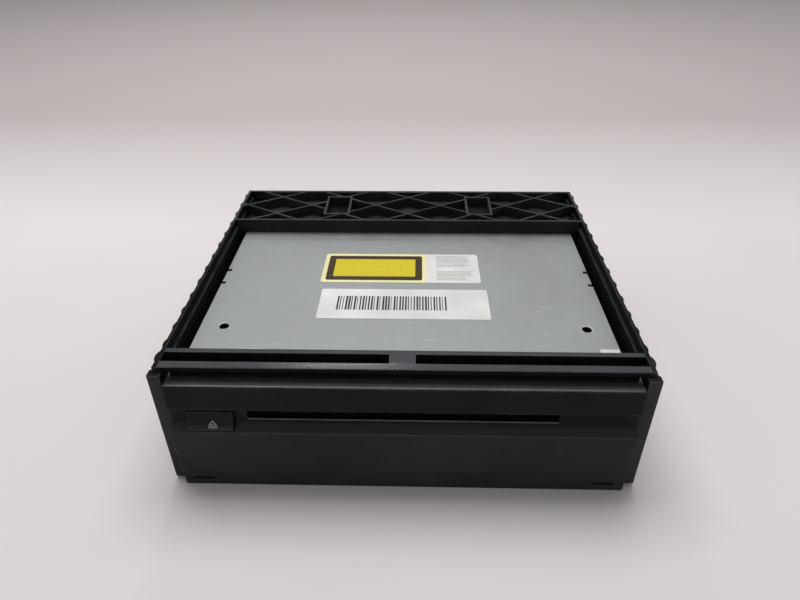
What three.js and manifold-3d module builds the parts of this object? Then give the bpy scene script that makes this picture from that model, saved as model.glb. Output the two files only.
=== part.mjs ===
// Car DVD drive: a slot-loading disc drive of one radio height, held in a moulded mounting cage.
// Millimetres, +X to the right as seen from the front, +Y to the back, +Z up.
// Depths run back from the foremost edge of the front panel. The finished group is moved so that
// its origin lies under the middle of the part, on the surface that it stands on. The disc and the
// pieces round it set the outside: the chassis comes out at 178 by 50, the cage at 194 by 171.2 by 59.1.

import * as THREE from "three";
import { mergeVertices } from "three/addons/utils/BufferGeometryUtils.js";
import Module from "manifold-3d";

const wasm = await Module();
wasm.setup();

// Fits that the whole part shares
const seatGap = 0.3;
const overrun = 2;
const roundSides = 24;
const smallSides = 12;

// Disc, which sets the width and the depth of all that lies round it, and its path
const discDiameter = 120;
const discHole = 15;
const pathInset = 0.2;

// Mounting cage: walls, rim and pilasters
const cageSideGap = 3.4;
const cageRimRise = 7.7;
const cageWall = 2.9;
const rimWall = 1.4;
const rimDepth = 3.6;
const cageFloor = 1.1;
const cageBackWall = 1.7;
const floorFlange = 9;
const crossBarDepth = 12;
const crossBarInset = 17;
const pilasterWidth = 7.2;
const pilasterRise = 1.3;
const pilasterSides = 8;
const pilasterPitch = 11.8;
const pilasterBackMargin = 5.7;
const pilasterFoot = 2.4;
const pilasterDrop = 0.9;
const cheekPilasterWidth = 8.4;
const cheekPilasterGap = 1.3;
const rearWindowSide = 12;
const rearWindowSill = 5;
const rearWindowHead = 4.2;

// Mounting cage: cheeks beside the front panel
const cheekFlare = 1.7;
const cheekWidth = 5.2;
const cheekSetback = 4.8;
const cheekDepth = 5.3;
const cheekDrop = 2.1;
const cheekFoot = 1;
const cheekRound = 0.8;

// Mounting cage: slotted front beam
const beamSetback = 7.8;
const beamLedge = 3.9;
const beamLedgeThickness = 2.2;
const beamSlot = 5.4;
const beamWall = 2.6;
const beamBridge = 10.4;
const beamEndPost = 0.4;
const beamTab = 5.6;
const beamTabThickness = 1.4;

// Mounting cage: lattice deck
const deckDepth = 39;
const deckWall = 1.5;
const deckPocket = 5.8;
const ribThickness = 1;
const cellWidth = 36.5;
const cellDepth = 21.4;
const deckBoxWidth = 12;
const deckBoxDepth = 21;
const deckBoxSpread = 79.4;
const deckBoxWall = 1.2;

// Front panel
const panelRoof = 1.3;
const panelWall = 2;
const panelSkin = 1.9;
const panelSkirt = 14.5;
const footSetback = 1.9;
const foldDrop = 3.3;
const lipSetback = 4.2;
const browSetback = 2.8;
const browRise = 1.4;
const topSetback = 3.9;
const topChamfer = 0.5;
const slotMargin = 1;
const slotHeight = 4.6;
const snapWindowWidth = 9.3;
const snapWindowHeight = 1.3;
const snapWindowLift = 3.3;
const snapWindowInset = 3.7;
const boardBossRadius = 2;
const lipCurveShare = 0.9;
const topCurveShare = 0.2;

// Eject button, its switch and the small board behind the panel
const buttonWidth = 18;
const buttonInset = 7.3;
const buttonCrown = 0.35;
const buttonFlange = 1.8;
const buttonFlangeThickness = 1.4;
const buttonTravel = 1;
const switchWidth = 6;
const frontBoardWidth = 22;
const frontBoardHeight = 24;
const boardThickness = 1.6;

// Felt lips behind the slot
const feltThickness = 1;
const feltHeight = 5.5;

// Sheet-metal chassis
const coverHeadroom = 3.1;
const coverSheet = 0.8;
const coverFlange = 8;
const traySheet = 1;
const lockHoleRadius = 2.1;
const lockHoleInset = 10.5;
const lockHoleSetback = 45;
const reliefLength = 2;
const reliefDepth = 1.2;
const reliefSpread = 11.7;
const reliefSetback = 86.2;
const ventWidth = 2.4;
const ventHeight = 16;
const ventPitch = 6;
const ventCount = 8;
const ventInset = 18;
const ventLift = 24;

// Screws
const screwRadius = 1.5;
const screwHeadRadius = 3;
const screwHeadHeight = 1.3;
const screwReach = 2.2;
const screwRecess = 0.9;
const cageScrewLift = 22;
const cageScrewSpread = 47.6;
const cageScrewPitches = 6.5;
const cageBossRadius = 4;
const headRimShare = 0.9;
const headShoulderShare = 0.7;
const headCrownShare = 0.5;
const crossLengthShare = 1.2;
const crossWidthShare = 0.25;
const crossFloorShare = 0.4;
const coverScrewInset = 14;
const coverScrewDrop = 5.2;

// Main board and rear socket
const boardLift = 2.6;
const boardSideRoom = 6.9;
const boardFrontRoom = 15.3;
const boardPostRadius = 3;
const boardPostInset = 7;
const chipHeight = 2;
const chipWidth = 28;
const chipGap = 14;
const memoryChipDepth = 11;
const memoryChipWidth = 22;
const driverChipWidth = 17;
const socketWidth = 58;
const socketHeight = 9.6;
const socketDepth = 15.9;
const socketWall = 1.6;
const socketCavity = 12;
const contactThickness = 0.8;
const contactLength = 5;
const contactPitch = 4;
const contactCount = 12;
const contactRowShares = [0.3, 0.7];

// Floating mechanism frame
const frameSideGap = 0.8;
const frameSheet = 1;
const frameFrontGap = 2.7;
const frameBackGap = 4.1;
const frameFloorGap = 5;
const frameWindowMargin = 3;
const frameHead = 3.5;
const damperLength = 14.9;
const damperRadius = 7;
const damperNeck = 4.5;
const damperInset = 22;
const damperHeight = 14;
const damperSeatShare = 0.8;
const damperWaistShare = 0.75;
const damperRingShare = 0.25;

// Disc guide above the roller
const guideThickness = 1.8;
const guideDepth = 21.5;
const guideSideGap = 0.5;
const guideRibHeight = 3.6;
const guideRibThickness = 1.2;
const guideRibCount = 7;
const guideEarDepth = 6;

// Traverse: plate, spindle, sled and its drive
const traverseMargin = 2.2;
const traverseNose = 18;
const traverseTail = 1.7;
const traverseClearance = 0.5;
const traverseThickness = 1.5;
const traversePost = 4;
const traversePostRadius = 3;
const traversePostInset = 6;
const spindleClearance = 0.5;
const spindleStepShare = 0.35;
const spindleCanShare = 0.9;
const spindleCrownShare = 0.85;
const spindleShaftRadius = 1.2;
const spindleShaftLength = 5;
const turntableRadius = 14.5;
const turntableThickness = 1.6;
const hubHeight = 1.8;
const hubTaper = 0.9;
const innerTrackRadius = 24;
const sledTravel = 34;
const sledLength = 22;
const sledLift = 1.5;
const sledSideGap = 4;
const rodSpread = 52;
const rodRadius = 1.5;
const rodPostWidth = 7;
const rodPostDepth = 3;
const bushRadius = 3.4;
const lensRadius = 3.5;
const lensRise = 2.6;
const lensShoulderShare = 0.8;
const lensTopShare = 0.4;
const rodHeightShare = 0.55;
const leadScrewDrop = 3;
const sledMotorRadius = 5;
const sledMotorLength = 10.5;

// Disc clamp
const clampArmThickness = 1.2;
const clampNoseRadius = 17;
const clampEarHeight = 7;
const clampEarDepth = 17;
const clampShaftRadius = 1.5;
const clampShaftSetback = 5;
const clampShaftLift = 3.5;
const clampWindowShare = 0.42;
const puckRadius = 13;
const puckNeckRadius = 8;
const puckTopRadius = 11;
const puckFlange = 2.2;
const puckTop = 1;
const springCoilRadius = 2.6;
const springWireRadius = 0.45;
const springPitch = 1.5;
const springTurns = 5;
const springStepsPerTurn = 9;
const springWireSides = 5;

// Loading unit: bracket, roller and gears
const rollerRadius = 4.5;
const rollerWaist = 3.3;
const rollerEndGap = 2;
const rollerShaftRadius = 1.5;
const rollerClearance = 0.66;
const bracketSideGap = 6;
const bracketSheet = 1.2;
const bracketMargin = 4;
const bracketPlateDepth = 14;
const pivotSetback = 23;
const pivotDrop = 6.7;
const gearModule = 0.6;
const gearWidth = 2.4;
const gearSlack = 0.1;
const rollerTeeth = 20;
const idlerTeeth = 30;
const pinionTeeth = 10;
const idlerPinRadius = 1.2;
const loadingMotorRadius = 7;
const loadingMotorLift = 2.1;
const loadingMotorLength = 25;
const loadingMotorSetback = 19;
const motorShaftRadius = 1;
const motorEndShare = 0.9;
const motorBevelShare = 0.05;

// Cam slide that lifts the roller and the clamp together
const camTravel = 6;
const camPinRadius = 0.8;
const camSheet = 1;
const camBand = 5;
const camRoom = 2;
const camRaise = 0.8;
const loaderCamArm = 12;
const loaderLiftAngle = (9 * Math.PI) / 180;
const clampCamArm = 18;
const clampLiftAngle = (5 * Math.PI) / 180;
const camStudSetback = 54;
const camStudRise = 7;
const camStudRadius = 1.5;

// Shapes of one gear tooth, as shares of the tooth pitch and of the gear's module
const toothRootShare = 0.33;
const toothTipShare = 0.13;
const addendumShare = 0.9;
const dedendumShare = 1.15;

// Finishes
function finish(color, roughness, metalness) {
  return new THREE.MeshStandardMaterial({ color, roughness, metalness });
}

const blackPlastic = () => finish(0x202220, 0.62, 0);
const facePlastic = () => finish(0x222422, 0.55, 0);
const galvanised = () => finish(0x9fa1a2, 0.42, 0.85);
const frameSteel = () => finish(0x8a8c8e, 0.45, 0.85);
const brightSteel = () => finish(0xb9bbbd, 0.25, 0.95);
const screwSteel = () => finish(0x8f8a80, 0.35, 0.9);
const boardGreen = () => finish(0x1f4a30, 0.55, 0);
const whitePlastic = () => finish(0xd8d6ce, 0.5, 0);
const darkRubber = () => finish(0x1a1a1b, 0.85, 0);
const blackFelt = () => finish(0x121212, 0.95, 0);
const lensGlass = () => finish(0x8fb4d8, 0.08, 0);

// Widths, worked out from the disc outwards
const slotWidth = discDiameter + slotMargin * 2;
const armInner = discDiameter / 2 + bracketSideGap;
const armOuter = armInner + bracketSheet;
const gearSpan = [armOuter + seatGap * 2, armOuter + seatGap * 2 + gearWidth];
const frameInner = gearSpan[1] + frameSideGap;
const frameHalf = frameInner + frameSheet;
const trayInner = frameHalf + damperLength;
const trayHalf = trayInner + traySheet;
const coverHalf = trayHalf + seatGap + coverSheet;
const wallInner = coverHalf + cageSideGap;
const wallOuter = wallInner + cageWall;
const rimInner = wallOuter - rimWall;
const halfWidth = wallOuter + cheekFlare;
const cheekInner = halfWidth - cheekWidth;
const panelHalf = cheekInner - seatGap;

// Heights from the tray's floor to the disc's path, past the board and the loading motor
const chassisBottom = cageFloor + seatGap;
const trayFloorTop = chassisBottom + traySheet;
const boardUnder = trayFloorTop + boardLift;
const boardTop = boardUnder + boardThickness;
const motorZ = boardTop + loadingMotorLift + loadingMotorRadius;
const bracketPlateUnder = motorZ + loadingMotorRadius + seatGap;
const pivotZ = bracketPlateUnder + bracketSheet;
const rollerZ = pivotZ + pivotDrop;
const pathFloor = rollerZ + rollerRadius + seatGap;
const pathLow = pathFloor + seatGap;
const slotBottom = pathLow - pathInset;
const slotTop = slotBottom + slotHeight;
const pathRoof = slotTop - pathInset + seatGap;

// Heights of the floating frame, the traverse and the clamp
const socketZ = [boardTop + seatGap, boardTop + seatGap + socketHeight];
const traverseUnder = socketZ[1] + traverseClearance;
const traverseTop = traverseUnder + traverseThickness;
const frameFloorTop = traverseUnder - traversePost;
const frameUnder = frameFloorTop - frameSheet;
const clampArmTop = pathRoof + clampArmThickness;
const clampShaftZ = pathRoof + clampShaftLift;
const frameTop = clampShaftZ + frameHead;

// Heights of the cover, the panel and the cage
const coverUnder = frameTop + coverHeadroom;
const coverTop = coverUnder + coverSheet;
const trayTop = coverUnder - seatGap;
const foldHeight = slotBottom - foldDrop;
const browHeight = slotTop + browRise;
const panelHeight = coverTop + seatGap + panelRoof;
const cageHeight = coverTop + cageRimRise;

// Depths from the face to the disc's centre, past the roller
const pitchRadius = (teeth) => (teeth * gearModule) / 2;
const gearTip = (teeth) => pitchRadius(teeth) + gearModule * addendumShare;
const chassisFront = panelSkirt + seatGap;
const trayFrontInner = chassisFront + traySheet;
const frameFront = trayFrontInner + frameFrontGap;
const rollerY = trayFrontInner + rollerClearance + Math.max(rollerRadius, gearTip(rollerTeeth));
const pivotY = rollerY + pivotSetback;
const motorY = rollerY + loadingMotorSetback;
const frameFloorFront = motorY + loadingMotorRadius + frameFloorGap;
const discCentreY = rollerY + rollerRadius + pathInset + seatGap + discDiameter / 2;

// Depths from the disc's centre to the back, past the sled's travel
const lensY = discCentreY + innerTrackRadius;
const sledY = [lensY - sledLength / 2, lensY + sledLength / 2];
const frontPostY = sledY[0] - rodPostDepth - seatGap;
const backPostY = sledY[1] + sledTravel + seatGap;
const traverseFront = discCentreY - traverseNose;
const traverseBack = backPostY + rodPostDepth + traverseTail;
const frameBack = traverseBack + frameSheet;
const clampShaftY = frameBack - clampShaftSetback;
const trayBackInner = frameBack + frameBackGap;
const trayBack = trayBackInner + traySheet;
const chassisBack = trayBack + seatGap + coverSheet;
const cageBackInner = chassisBack + seatGap;
const overallDepth = cageBackInner + cageBackWall;

// Depths of the board and of the cage's cheeks, beam and deck
const boardBack = trayBackInner - boardPostInset + boardPostRadius;
const boardFront = trayFrontInner + boardFrontRoom;
const cheekBack = cheekSetback + cheekDepth;
const ledgeBack = beamSetback + beamLedge;
const beamWallFront = ledgeBack + beamSlot;
const beamBack = beamWallFront + beamWall;
const deckFront = overallDepth - deckDepth;

// Turns a three.js geometry into a solid for joining and cutting.
function solidFrom(geometry) {
  const bare = geometry.clone();
  bare.deleteAttribute("normal");
  bare.deleteAttribute("uv");
  const merged = mergeVertices(bare, seatGap / 1000);
  const index = merged.index.array;
  const kept = [];
  for (let i = 0; i < index.length; i += 3) {
    const [a, b, c] = [index[i], index[i + 1], index[i + 2]];
    if (a !== b && b !== c && c !== a) {
      kept.push(a, b, c);
    }
  }
  const mesh = new wasm.Mesh({
    numProp: 3,
    vertProperties: merged.attributes.position.array,
    triVerts: new Uint32Array(kept),
  });
  return new wasm.Manifold(mesh);
}

// Turns a finished solid back into a three.js geometry with flat faces.
function geometryFrom(solid) {
  const mesh = solid.getMesh();
  const geometry = new THREE.BufferGeometry();
  geometry.setAttribute("position", new THREE.BufferAttribute(mesh.vertProperties, mesh.numProp));
  geometry.setIndex(new THREE.BufferAttribute(mesh.triVerts, 1));
  const flat = geometry.toNonIndexed();
  flat.computeVertexNormals();
  return flat;
}

const join = (first, ...others) => others.reduce((sum, other) => sum.add(other), first);
const cut = (body, ...tools) => tools.reduce((rest, tool) => rest.subtract(tool), body);

// A rectangular solid between two limits on each axis.
function slab([x0, x1], [y0, y1], [z0, z1]) {
  const box = new THREE.BoxGeometry(x1 - x0, y1 - y0, z1 - z0);
  box.translate((x0 + x1) / 2, (y0 + y1) / 2, (z0 + z1) / 2);
  return solidFrom(box);
}

// Axes that carry a flat outline onto the X, Y or Z direction of the part.
const unitX = new THREE.Vector3(1, 0, 0);
const unitY = new THREE.Vector3(0, 1, 0);
const unitZ = new THREE.Vector3(0, 0, 1);
const alongX = new THREE.Matrix4().makeBasis(unitY, unitZ, unitX);
const alongY = new THREE.Matrix4().makeBasis(unitX, unitZ, unitY.clone().negate());
const latheToX = new THREE.Matrix4().makeBasis(unitY, unitX, unitZ.clone().negate());
const latheToZ = new THREE.Matrix4().makeBasis(unitX, unitZ, unitY.clone().negate());

const outline = (points) => new THREE.Shape(points.map(([u, v]) => new THREE.Vector2(u, v)));

function prism(shape, length, curveSegments) {
  return new THREE.ExtrudeGeometry(shape, { depth: length, bevelEnabled: false, curveSegments });
}

// Extrusions of an outline: (y, z) points along X, (x, z) points along Y, (x, y) points along Z.
function prismX(shape, [x0, x1], curveSegments = smallSides) {
  return solidFrom(prism(shape, x1 - x0, curveSegments).applyMatrix4(alongX).translate(x0, 0, 0));
}

function prismY(shape, [y0, y1], curveSegments = smallSides) {
  return solidFrom(prism(shape, y1 - y0, curveSegments).applyMatrix4(alongY).translate(0, y1, 0));
}

function prismZ(shape, [z0, z1], curveSegments = smallSides) {
  return solidFrom(prism(shape, z1 - z0, curveSegments).translate(0, 0, z0));
}

// A closed profile of (radius, height) points turned about an axis.
function turned(points, sides, matrix) {
  const profile = points.map(([radius, height]) => new THREE.Vector2(radius, height));
  const ordered = THREE.ShapeUtils.isClockWise(profile) ? profile.reverse() : profile;
  const closed = [...ordered, ordered[0].clone()];
  const lathe = new THREE.LatheGeometry(closed, sides);
  return solidFrom(matrix ? lathe.applyMatrix4(matrix) : lathe);
}

const turnedX = (points, y, z, sides = roundSides) => turned(points, sides, latheToX).translate(0, y, z);
const turnedY = (points, x, z, sides = roundSides) => turned(points, sides).translate(x, 0, z);
const turnedZ = (points, x, y, sides = roundSides) => turned(points, sides, latheToZ).translate(x, y, 0);

const roundBar = (radius, [low, high]) => [[0, low], [radius, low], [radius, high], [0, high]];
const rodX = (y, z, radius, span, sides) => turnedX(roundBar(radius, span), y, z, sides);
const rodY = (x, z, radius, span, sides) => turnedY(roundBar(radius, span), x, z, sides);
const rodZ = (x, y, radius, span, sides) => turnedZ(roundBar(radius, span), x, y, sides);

// A flat strap of one half-width that runs through (y, z) points, with round ends and knees.
function strapX(points, radius, span, sides = smallSides) {
  const knees = points.map(([y, z]) => rodX(y, z, radius, span, sides));
  const bars = points.slice(1).map(([y1, z1], i) => {
    const [y0, z0] = points[i];
    const bar = new THREE.BoxGeometry(span[1] - span[0], Math.hypot(y1 - y0, z1 - z0), radius * 2);
    bar.rotateX(Math.atan2(z1 - z0, y1 - y0));
    return solidFrom(bar.translate((span[0] + span[1]) / 2, (y0 + y1) / 2, (z0 + z1) / 2));
  });
  return join(...knees, ...bars);
}

// A solid and its mirror image across the middle of the part, joined.
const bothSides = (solid) => solid.add(solid.mirror([1, 0, 0]));

const drive = new THREE.Group();

function place(name, solid, material) {
  const mesh = new THREE.Mesh(geometryFrom(solid), material);
  mesh.name = name;
  drive.add(mesh);
}

// Mounting cage

// One side wall: thick below, thin at the rim, with the inward flange that the chassis rests on.
function cageSide() {
  const ledgeZ = cageHeight - rimDepth;
  const section = outline([
    [wallInner, 0],
    [wallOuter, 0],
    [wallOuter, cageHeight],
    [rimInner, cageHeight],
    [rimInner, ledgeZ],
    [wallInner, ledgeZ],
  ]);
  const wall = prismY(section, [cheekSetback + cheekDepth / 2, overallDepth]);
  const flange = slab([wallInner - floorFlange, wallOuter], [chassisFront, overallDepth], [0, cageFloor]);
  return bothSides(join(wall, flange));
}

// One shallow round pilaster: a rod sunk in the wall, as wide as its chord and as proud as its rise.
function cagePilaster(y, width, rise) {
  const radius = (width ** 2 / 4 + rise ** 2) / (rise * 2);
  const span = [pilasterFoot, cageHeight - pilasterDrop];
  return rodZ(wallOuter + rise - radius, y, radius, span, pilasterSides * 4);
}

// Pilasters that stiffen the outside of a wall, spaced from the back, and a wider one behind the cheek.
function cagePilasters() {
  const firstY = overallDepth - pilasterBackMargin;
  const cheekY = cheekBack + cheekPilasterGap + cheekPilasterWidth / 2;
  const room = firstY - cheekY - (cheekPilasterWidth + pilasterWidth) / 2;
  const count = Math.floor(room / pilasterPitch) + 1;
  const pilaster = cagePilaster(firstY, pilasterWidth, pilasterRise);
  const row = Array.from({ length: count }, (_, i) => pilaster.translate(0, -i * pilasterPitch, 0));
  const shoulder = cagePilaster(cheekY, cheekPilasterWidth, cheekFlare);
  const outside = slab([wallOuter - rimWall / 2, halfWidth], [0, overallDepth], [0, cageHeight]);
  return bothSides(join(...row, shoulder).intersect(outside));
}

// The cheek that frames one end of the front panel, rounded at its outer front edge.
function cageCheeks() {
  const plan = new THREE.Shape();
  plan.moveTo(cheekInner, cheekSetback);
  plan.lineTo(halfWidth - cheekRound, cheekSetback);
  plan.quadraticCurveTo(halfWidth, cheekSetback, halfWidth, cheekSetback + cheekRound);
  plan.lineTo(halfWidth, cheekBack - cheekFlare);
  plan.lineTo(wallOuter, cheekBack);
  plan.lineTo(cheekInner, cheekBack);
  return bothSides(prismZ(plan, [cheekFoot, cageHeight - cheekDrop], smallSides / 3));
}

// Front beam: a thin front ledge and a deeper rear wall, with two long slots between them.
function cageBeam() {
  const ledgeUnder = cageHeight - beamLedgeThickness;
  const ledge = slab([-wallOuter, wallOuter], [beamSetback, ledgeBack], [ledgeUnder, cageHeight]);
  const wallBottom = coverTop + seatGap;
  const rearWall = slab([-wallOuter, wallOuter], [beamWallFront, beamBack], [wallBottom, cageHeight]);
  const middle = [ledgeBack - beamWall / 2, beamWallFront + beamWall / 2];
  const bridge = slab([-beamBridge / 2, beamBridge / 2], middle, [ledgeUnder, cageHeight]);
  const post = slab([rimInner - beamEndPost, wallOuter], middle, [ledgeUnder, cageHeight]);
  const tabZ = [panelHeight + seatGap, cageHeight - beamLedgeThickness / 2];
  const tab = slab([-beamTab / 2, beamTab / 2], [ledgeBack - beamTabThickness, ledgeBack], tabZ);
  return join(ledge, rearWall, bridge, bothSides(post), tab);
}

// Rear deck: a tray of pockets between thin ribs that cross as diamonds, with two plain boxes.
function cageDeck() {
  const under = coverTop + seatGap;
  const body = slab([-wallOuter, wallOuter], [deckFront, overallDepth], [under, cageHeight]);
  const floorTop = cageHeight - deckPocket;
  const inner = slab(
    [-rimInner, rimInner],
    [deckFront + deckWall, overallDepth - deckWall],
    [floorTop, cageHeight + overrun],
  );
  const middleY = deckFront + deckDepth / 2;
  const slant = Math.atan2(cellDepth, cellWidth);
  const ribLength = deckDepth / Math.sin(slant) + ribThickness * 2;
  const ribZ = (floorTop + cageHeight) / 2;
  const bar = new THREE.BoxGeometry(ribLength, ribThickness, deckPocket);
  const columns = Math.ceil(wallOuter / cellWidth);
  const ribs = [];
  for (let column = -columns - 1; column <= columns; column += 1) {
    for (const turn of [slant, -slant]) {
      ribs.push(solidFrom(bar.clone().rotateZ(turn).translate((column + 0.5) * cellWidth, middleY, ribZ)));
    }
  }
  const boxPlan = (grow) => [
    [deckBoxSpread / 2 - deckBoxWidth / 2 - grow, deckBoxSpread / 2 + deckBoxWidth / 2 + grow],
    [middleY - deckBoxDepth / 2 - grow, middleY + deckBoxDepth / 2 + grow],
  ];
  const boxWalls = bothSides(slab(...boxPlan(deckBoxWall), [floorTop, cageHeight]));
  const boxRooms = bothSides(slab(...boxPlan(0), [floorTop, cageHeight + overrun]));
  const pockets = cut(inner, ...ribs, boxWalls).add(boxRooms);
  return cut(body, pockets);
}

// Back wall with the wide window for the socket and for air, and the bars under the chassis.
function cageBackAndBars() {
  const back = slab([-wallOuter, wallOuter], [cageBackInner, overallDepth], [0, cageHeight]);
  const windowX = wallOuter - rearWindowSide;
  const windowZ = [rearWindowSill, coverTop - coverScrewDrop + rearWindowHead];
  const window = slab([-windowX, windowX], [cageBackInner - overrun, overallDepth + overrun], windowZ);
  const bar = slab([-wallInner, wallInner], [0, crossBarDepth], [0, cageFloor]);
  const frontBar = bar.translate(0, chassisFront + crossBarInset, 0);
  const backBar = bar.translate(0, overallDepth - crossBarInset - crossBarDepth, 0);
  return join(cut(back, window), frontBar, backBar);
}

// Middle of the cage in depth, halfway between two pilasters, that the side screws are set out from.
const cageScrewMiddle = overallDepth - pilasterBackMargin - pilasterPitch * cageScrewPitches;
const cageScrewPlaces = [-1, 1].map((end) => cageScrewMiddle + (end * cageScrewSpread) / 2);

function mountingCage() {
  const shell = join(cageSide(), cagePilasters(), cageCheeks(), cageBeam(), cageDeck(), cageBackAndBars());
  const bossSpan = [coverHalf + seatGap, wallOuter];
  const holeSpan = [coverHalf, halfWidth + overrun];
  const bosses = cageScrewPlaces.map((y) => rodX(y, cageScrewLift, cageBossRadius, bossSpan, smallSides));
  const recessSpan = [wallOuter - screwRecess, halfWidth + overrun];
  const holes = cageScrewPlaces.flatMap((y) => [
    rodX(y, cageScrewLift, screwRadius + seatGap, holeSpan, smallSides),
    rodX(y, cageScrewLift, screwHeadRadius + seatGap, recessSpan, smallSides),
  ]);
  return cut(join(shell, bothSides(join(...bosses))), bothSides(join(...holes)));
}

// Front panel

// Points of the face from its foot to its top, as depth and height.
function faceOutline(setback) {
  const face = new THREE.Shape();
  face.moveTo(footSetback + setback, 0);
  face.lineTo(setback, foldHeight);
  face.quadraticCurveTo(lipSetback * lipCurveShare + setback, foldHeight, lipSetback + setback, slotBottom);
  face.lineTo(lipSetback + setback, slotTop);
  face.lineTo(browSetback + setback, browHeight);
  face.lineTo(topSetback - topChamfer * topCurveShare + setback, panelHeight - topChamfer);
  face.lineTo(topSetback + topChamfer + setback, panelHeight);
  return face;
}

// Depth of the plain face above the brow or below the fold at a height.
function setbackAt(z) {
  const rise = (z - browHeight) / (panelHeight - browHeight);
  const above = browSetback + (topSetback - browSetback) * rise;
  const below = footSetback * (1 - z / foldHeight);
  return z > browHeight ? above : below;
}

function closedTo(face, depth) {
  face.lineTo(depth, panelHeight);
  face.lineTo(depth, 0);
  return face;
}

const buttonLeft = -panelHalf + buttonInset;
const buttonRight = buttonLeft + buttonWidth;
const buttonX = (buttonLeft + buttonRight) / 2;
const buttonZ = [foldHeight + seatGap, slotTop - seatGap];
const buttonMiddleZ = (foldHeight + slotTop) / 2;
const panelBackOfWall = lipSetback + panelWall;
const behindWall = panelBackOfWall + seatGap;
const switchZ = [buttonMiddleZ - switchWidth / 2, buttonMiddleZ + switchWidth / 2];
const frontBoardBack = chassisFront - seatGap;
const frontBoardFace = frontBoardBack - boardThickness;

function frontPanel() {
  const roofDepth = beamWallFront - seatGap;
  const outer = prismX(closedTo(faceOutline(0), roofDepth), [-panelHalf, panelHalf], smallSides / 2);
  const sideInner = panelHalf - panelSkin;
  const roofUnder = coverTop + seatGap;
  const hollowShape = closedTo(faceOutline(panelWall), roofDepth + overrun);
  const hollowLimits = slab([-sideInner, sideInner], [0, roofDepth + overrun], [cageFloor, roofUnder]);
  const hollow = prismX(hollowShape, [-sideInner, sideInner], smallSides / 2).intersect(hollowLimits);
  const skirtCut = slab(
    [-halfWidth, halfWidth],
    [panelSkirt, roofDepth + overrun],
    [-overrun, roofUnder],
  );
  const slot = slab([-slotWidth / 2, slotWidth / 2], [-overrun, behindWall], [slotBottom, slotTop]);
  const keyHole = slab(
    [buttonLeft - seatGap, buttonRight + seatGap],
    [-overrun, behindWall],
    [foldHeight, slotTop],
  );
  const snapX = panelHalf - snapWindowInset;
  const snap = slab(
    [snapX - snapWindowWidth, snapX],
    [-overrun, behindWall],
    [snapWindowLift, snapWindowLift + snapWindowHeight],
  );
  const bosses = [-1, 1].map((end) => {
    const z = frontBoardMiddle + end * bossReach;
    const root = Math.max(setbackAt(z - boardBossRadius), setbackAt(z + boardBossRadius)) + panelWall / 2;
    return rodY(buttonX, z, boardBossRadius, [root, frontBoardFace - seatGap], smallSides);
  });
  return join(cut(outer, hollow, skirtCut, slot, keyHole, bothSides(snap)), ...bosses);
}

const frontBoardMiddle = buttonMiddleZ;
const bossReach = (browHeight - foldHeight) / 2 + buttonFlange + boardBossRadius + seatGap * 3;

// The button's face runs straight from the fold to the brow, a little crowned, with a stop flange behind.
function ejectButton() {
  const faceShape = new THREE.Shape();
  faceShape.moveTo(buttonCrown, buttonZ[0]);
  const topDepth = lipSetback - buttonCrown * 2;
  faceShape.quadraticCurveTo(lipSetback / 2 - buttonCrown, buttonMiddleZ, topDepth, buttonZ[1]);
  faceShape.lineTo(behindWall + buttonFlangeThickness, buttonZ[1]);
  faceShape.lineTo(behindWall + buttonFlangeThickness, buttonZ[0]);
  const cap = prismX(faceShape, [buttonLeft, buttonRight], smallSides / 2);
  const flange = slab(
    [buttonLeft - buttonFlange, buttonRight + buttonFlange],
    [behindWall, behindWall + buttonFlangeThickness],
    [buttonZ[0] - buttonFlange, buttonZ[1] + buttonFlange],
  );
  return join(cap, flange);
}

function ejectSwitch() {
  const front = behindWall + buttonFlangeThickness + buttonTravel + seatGap;
  const back = frontBoardFace - seatGap;
  const bodyFront = (front + back) / 2;
  const body = slab([buttonX - switchWidth / 2, buttonX + switchWidth / 2], [bodyFront, back], switchZ);
  const plunger = rodY(buttonX, buttonMiddleZ, switchWidth / 4, [front, bodyFront + seatGap], smallSides);
  return join(body, plunger);
}

function frontBoard() {
  const x = [buttonX - frontBoardWidth / 2, buttonX + frontBoardWidth / 2];
  const z = [frontBoardMiddle - frontBoardHeight / 2, frontBoardMiddle + frontBoardHeight / 2];
  return slab(x, [frontBoardFace, frontBoardBack], z);
}

function felt(low, high) {
  return slab([-slotWidth / 2, slotWidth / 2], [behindWall, behindWall + feltThickness], [low, high]);
}

// Sheet-metal chassis

const coverScrewX = coverHalf - coverScrewInset;

function topCover() {
  const plate = slab([-coverHalf, coverHalf], [chassisFront, chassisBack], [coverUnder, coverTop]);
  const flangeZ = [coverTop - coverFlange, coverTop];
  const side = slab([coverHalf - coverSheet, coverHalf], [chassisFront, chassisBack], flangeZ);
  const back = slab([-coverHalf, coverHalf], [chassisBack - coverSheet, chassisBack], flangeZ);
  const lockHole = rodZ(
    coverHalf - lockHoleInset,
    lockHoleSetback,
    lockHoleRadius,
    [coverUnder - overrun, coverTop + overrun],
    roundSides,
  );
  const reliefs = [-1, 1].map((end) => {
    const middle = reliefSetback + (end * reliefSpread) / 2;
    return slab(
      [coverHalf - coverSheet - reliefDepth, coverHalf + overrun],
      [middle - reliefLength / 2, middle + reliefLength / 2],
      [coverTop - coverFlange / 2, coverTop + overrun],
    );
  });
  const screwHoles = bothSides(
    rodY(
      coverScrewX,
      coverTop - coverScrewDrop,
      screwRadius + seatGap,
      [chassisBack - overrun, chassisBack + overrun],
      smallSides,
    ),
  );
  return cut(join(plate, bothSides(side), back), bothSides(join(lockHole, ...reliefs)), screwHoles);
}

const socketBack = overallDepth - seatGap;
const socketFront = socketBack - socketDepth;
const boardHalf = trayInner - boardSideRoom;
const boardPostX = boardHalf - boardPostInset;
const boardPostY = [boardFront + boardPostInset, boardBack - boardPostInset];

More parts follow.
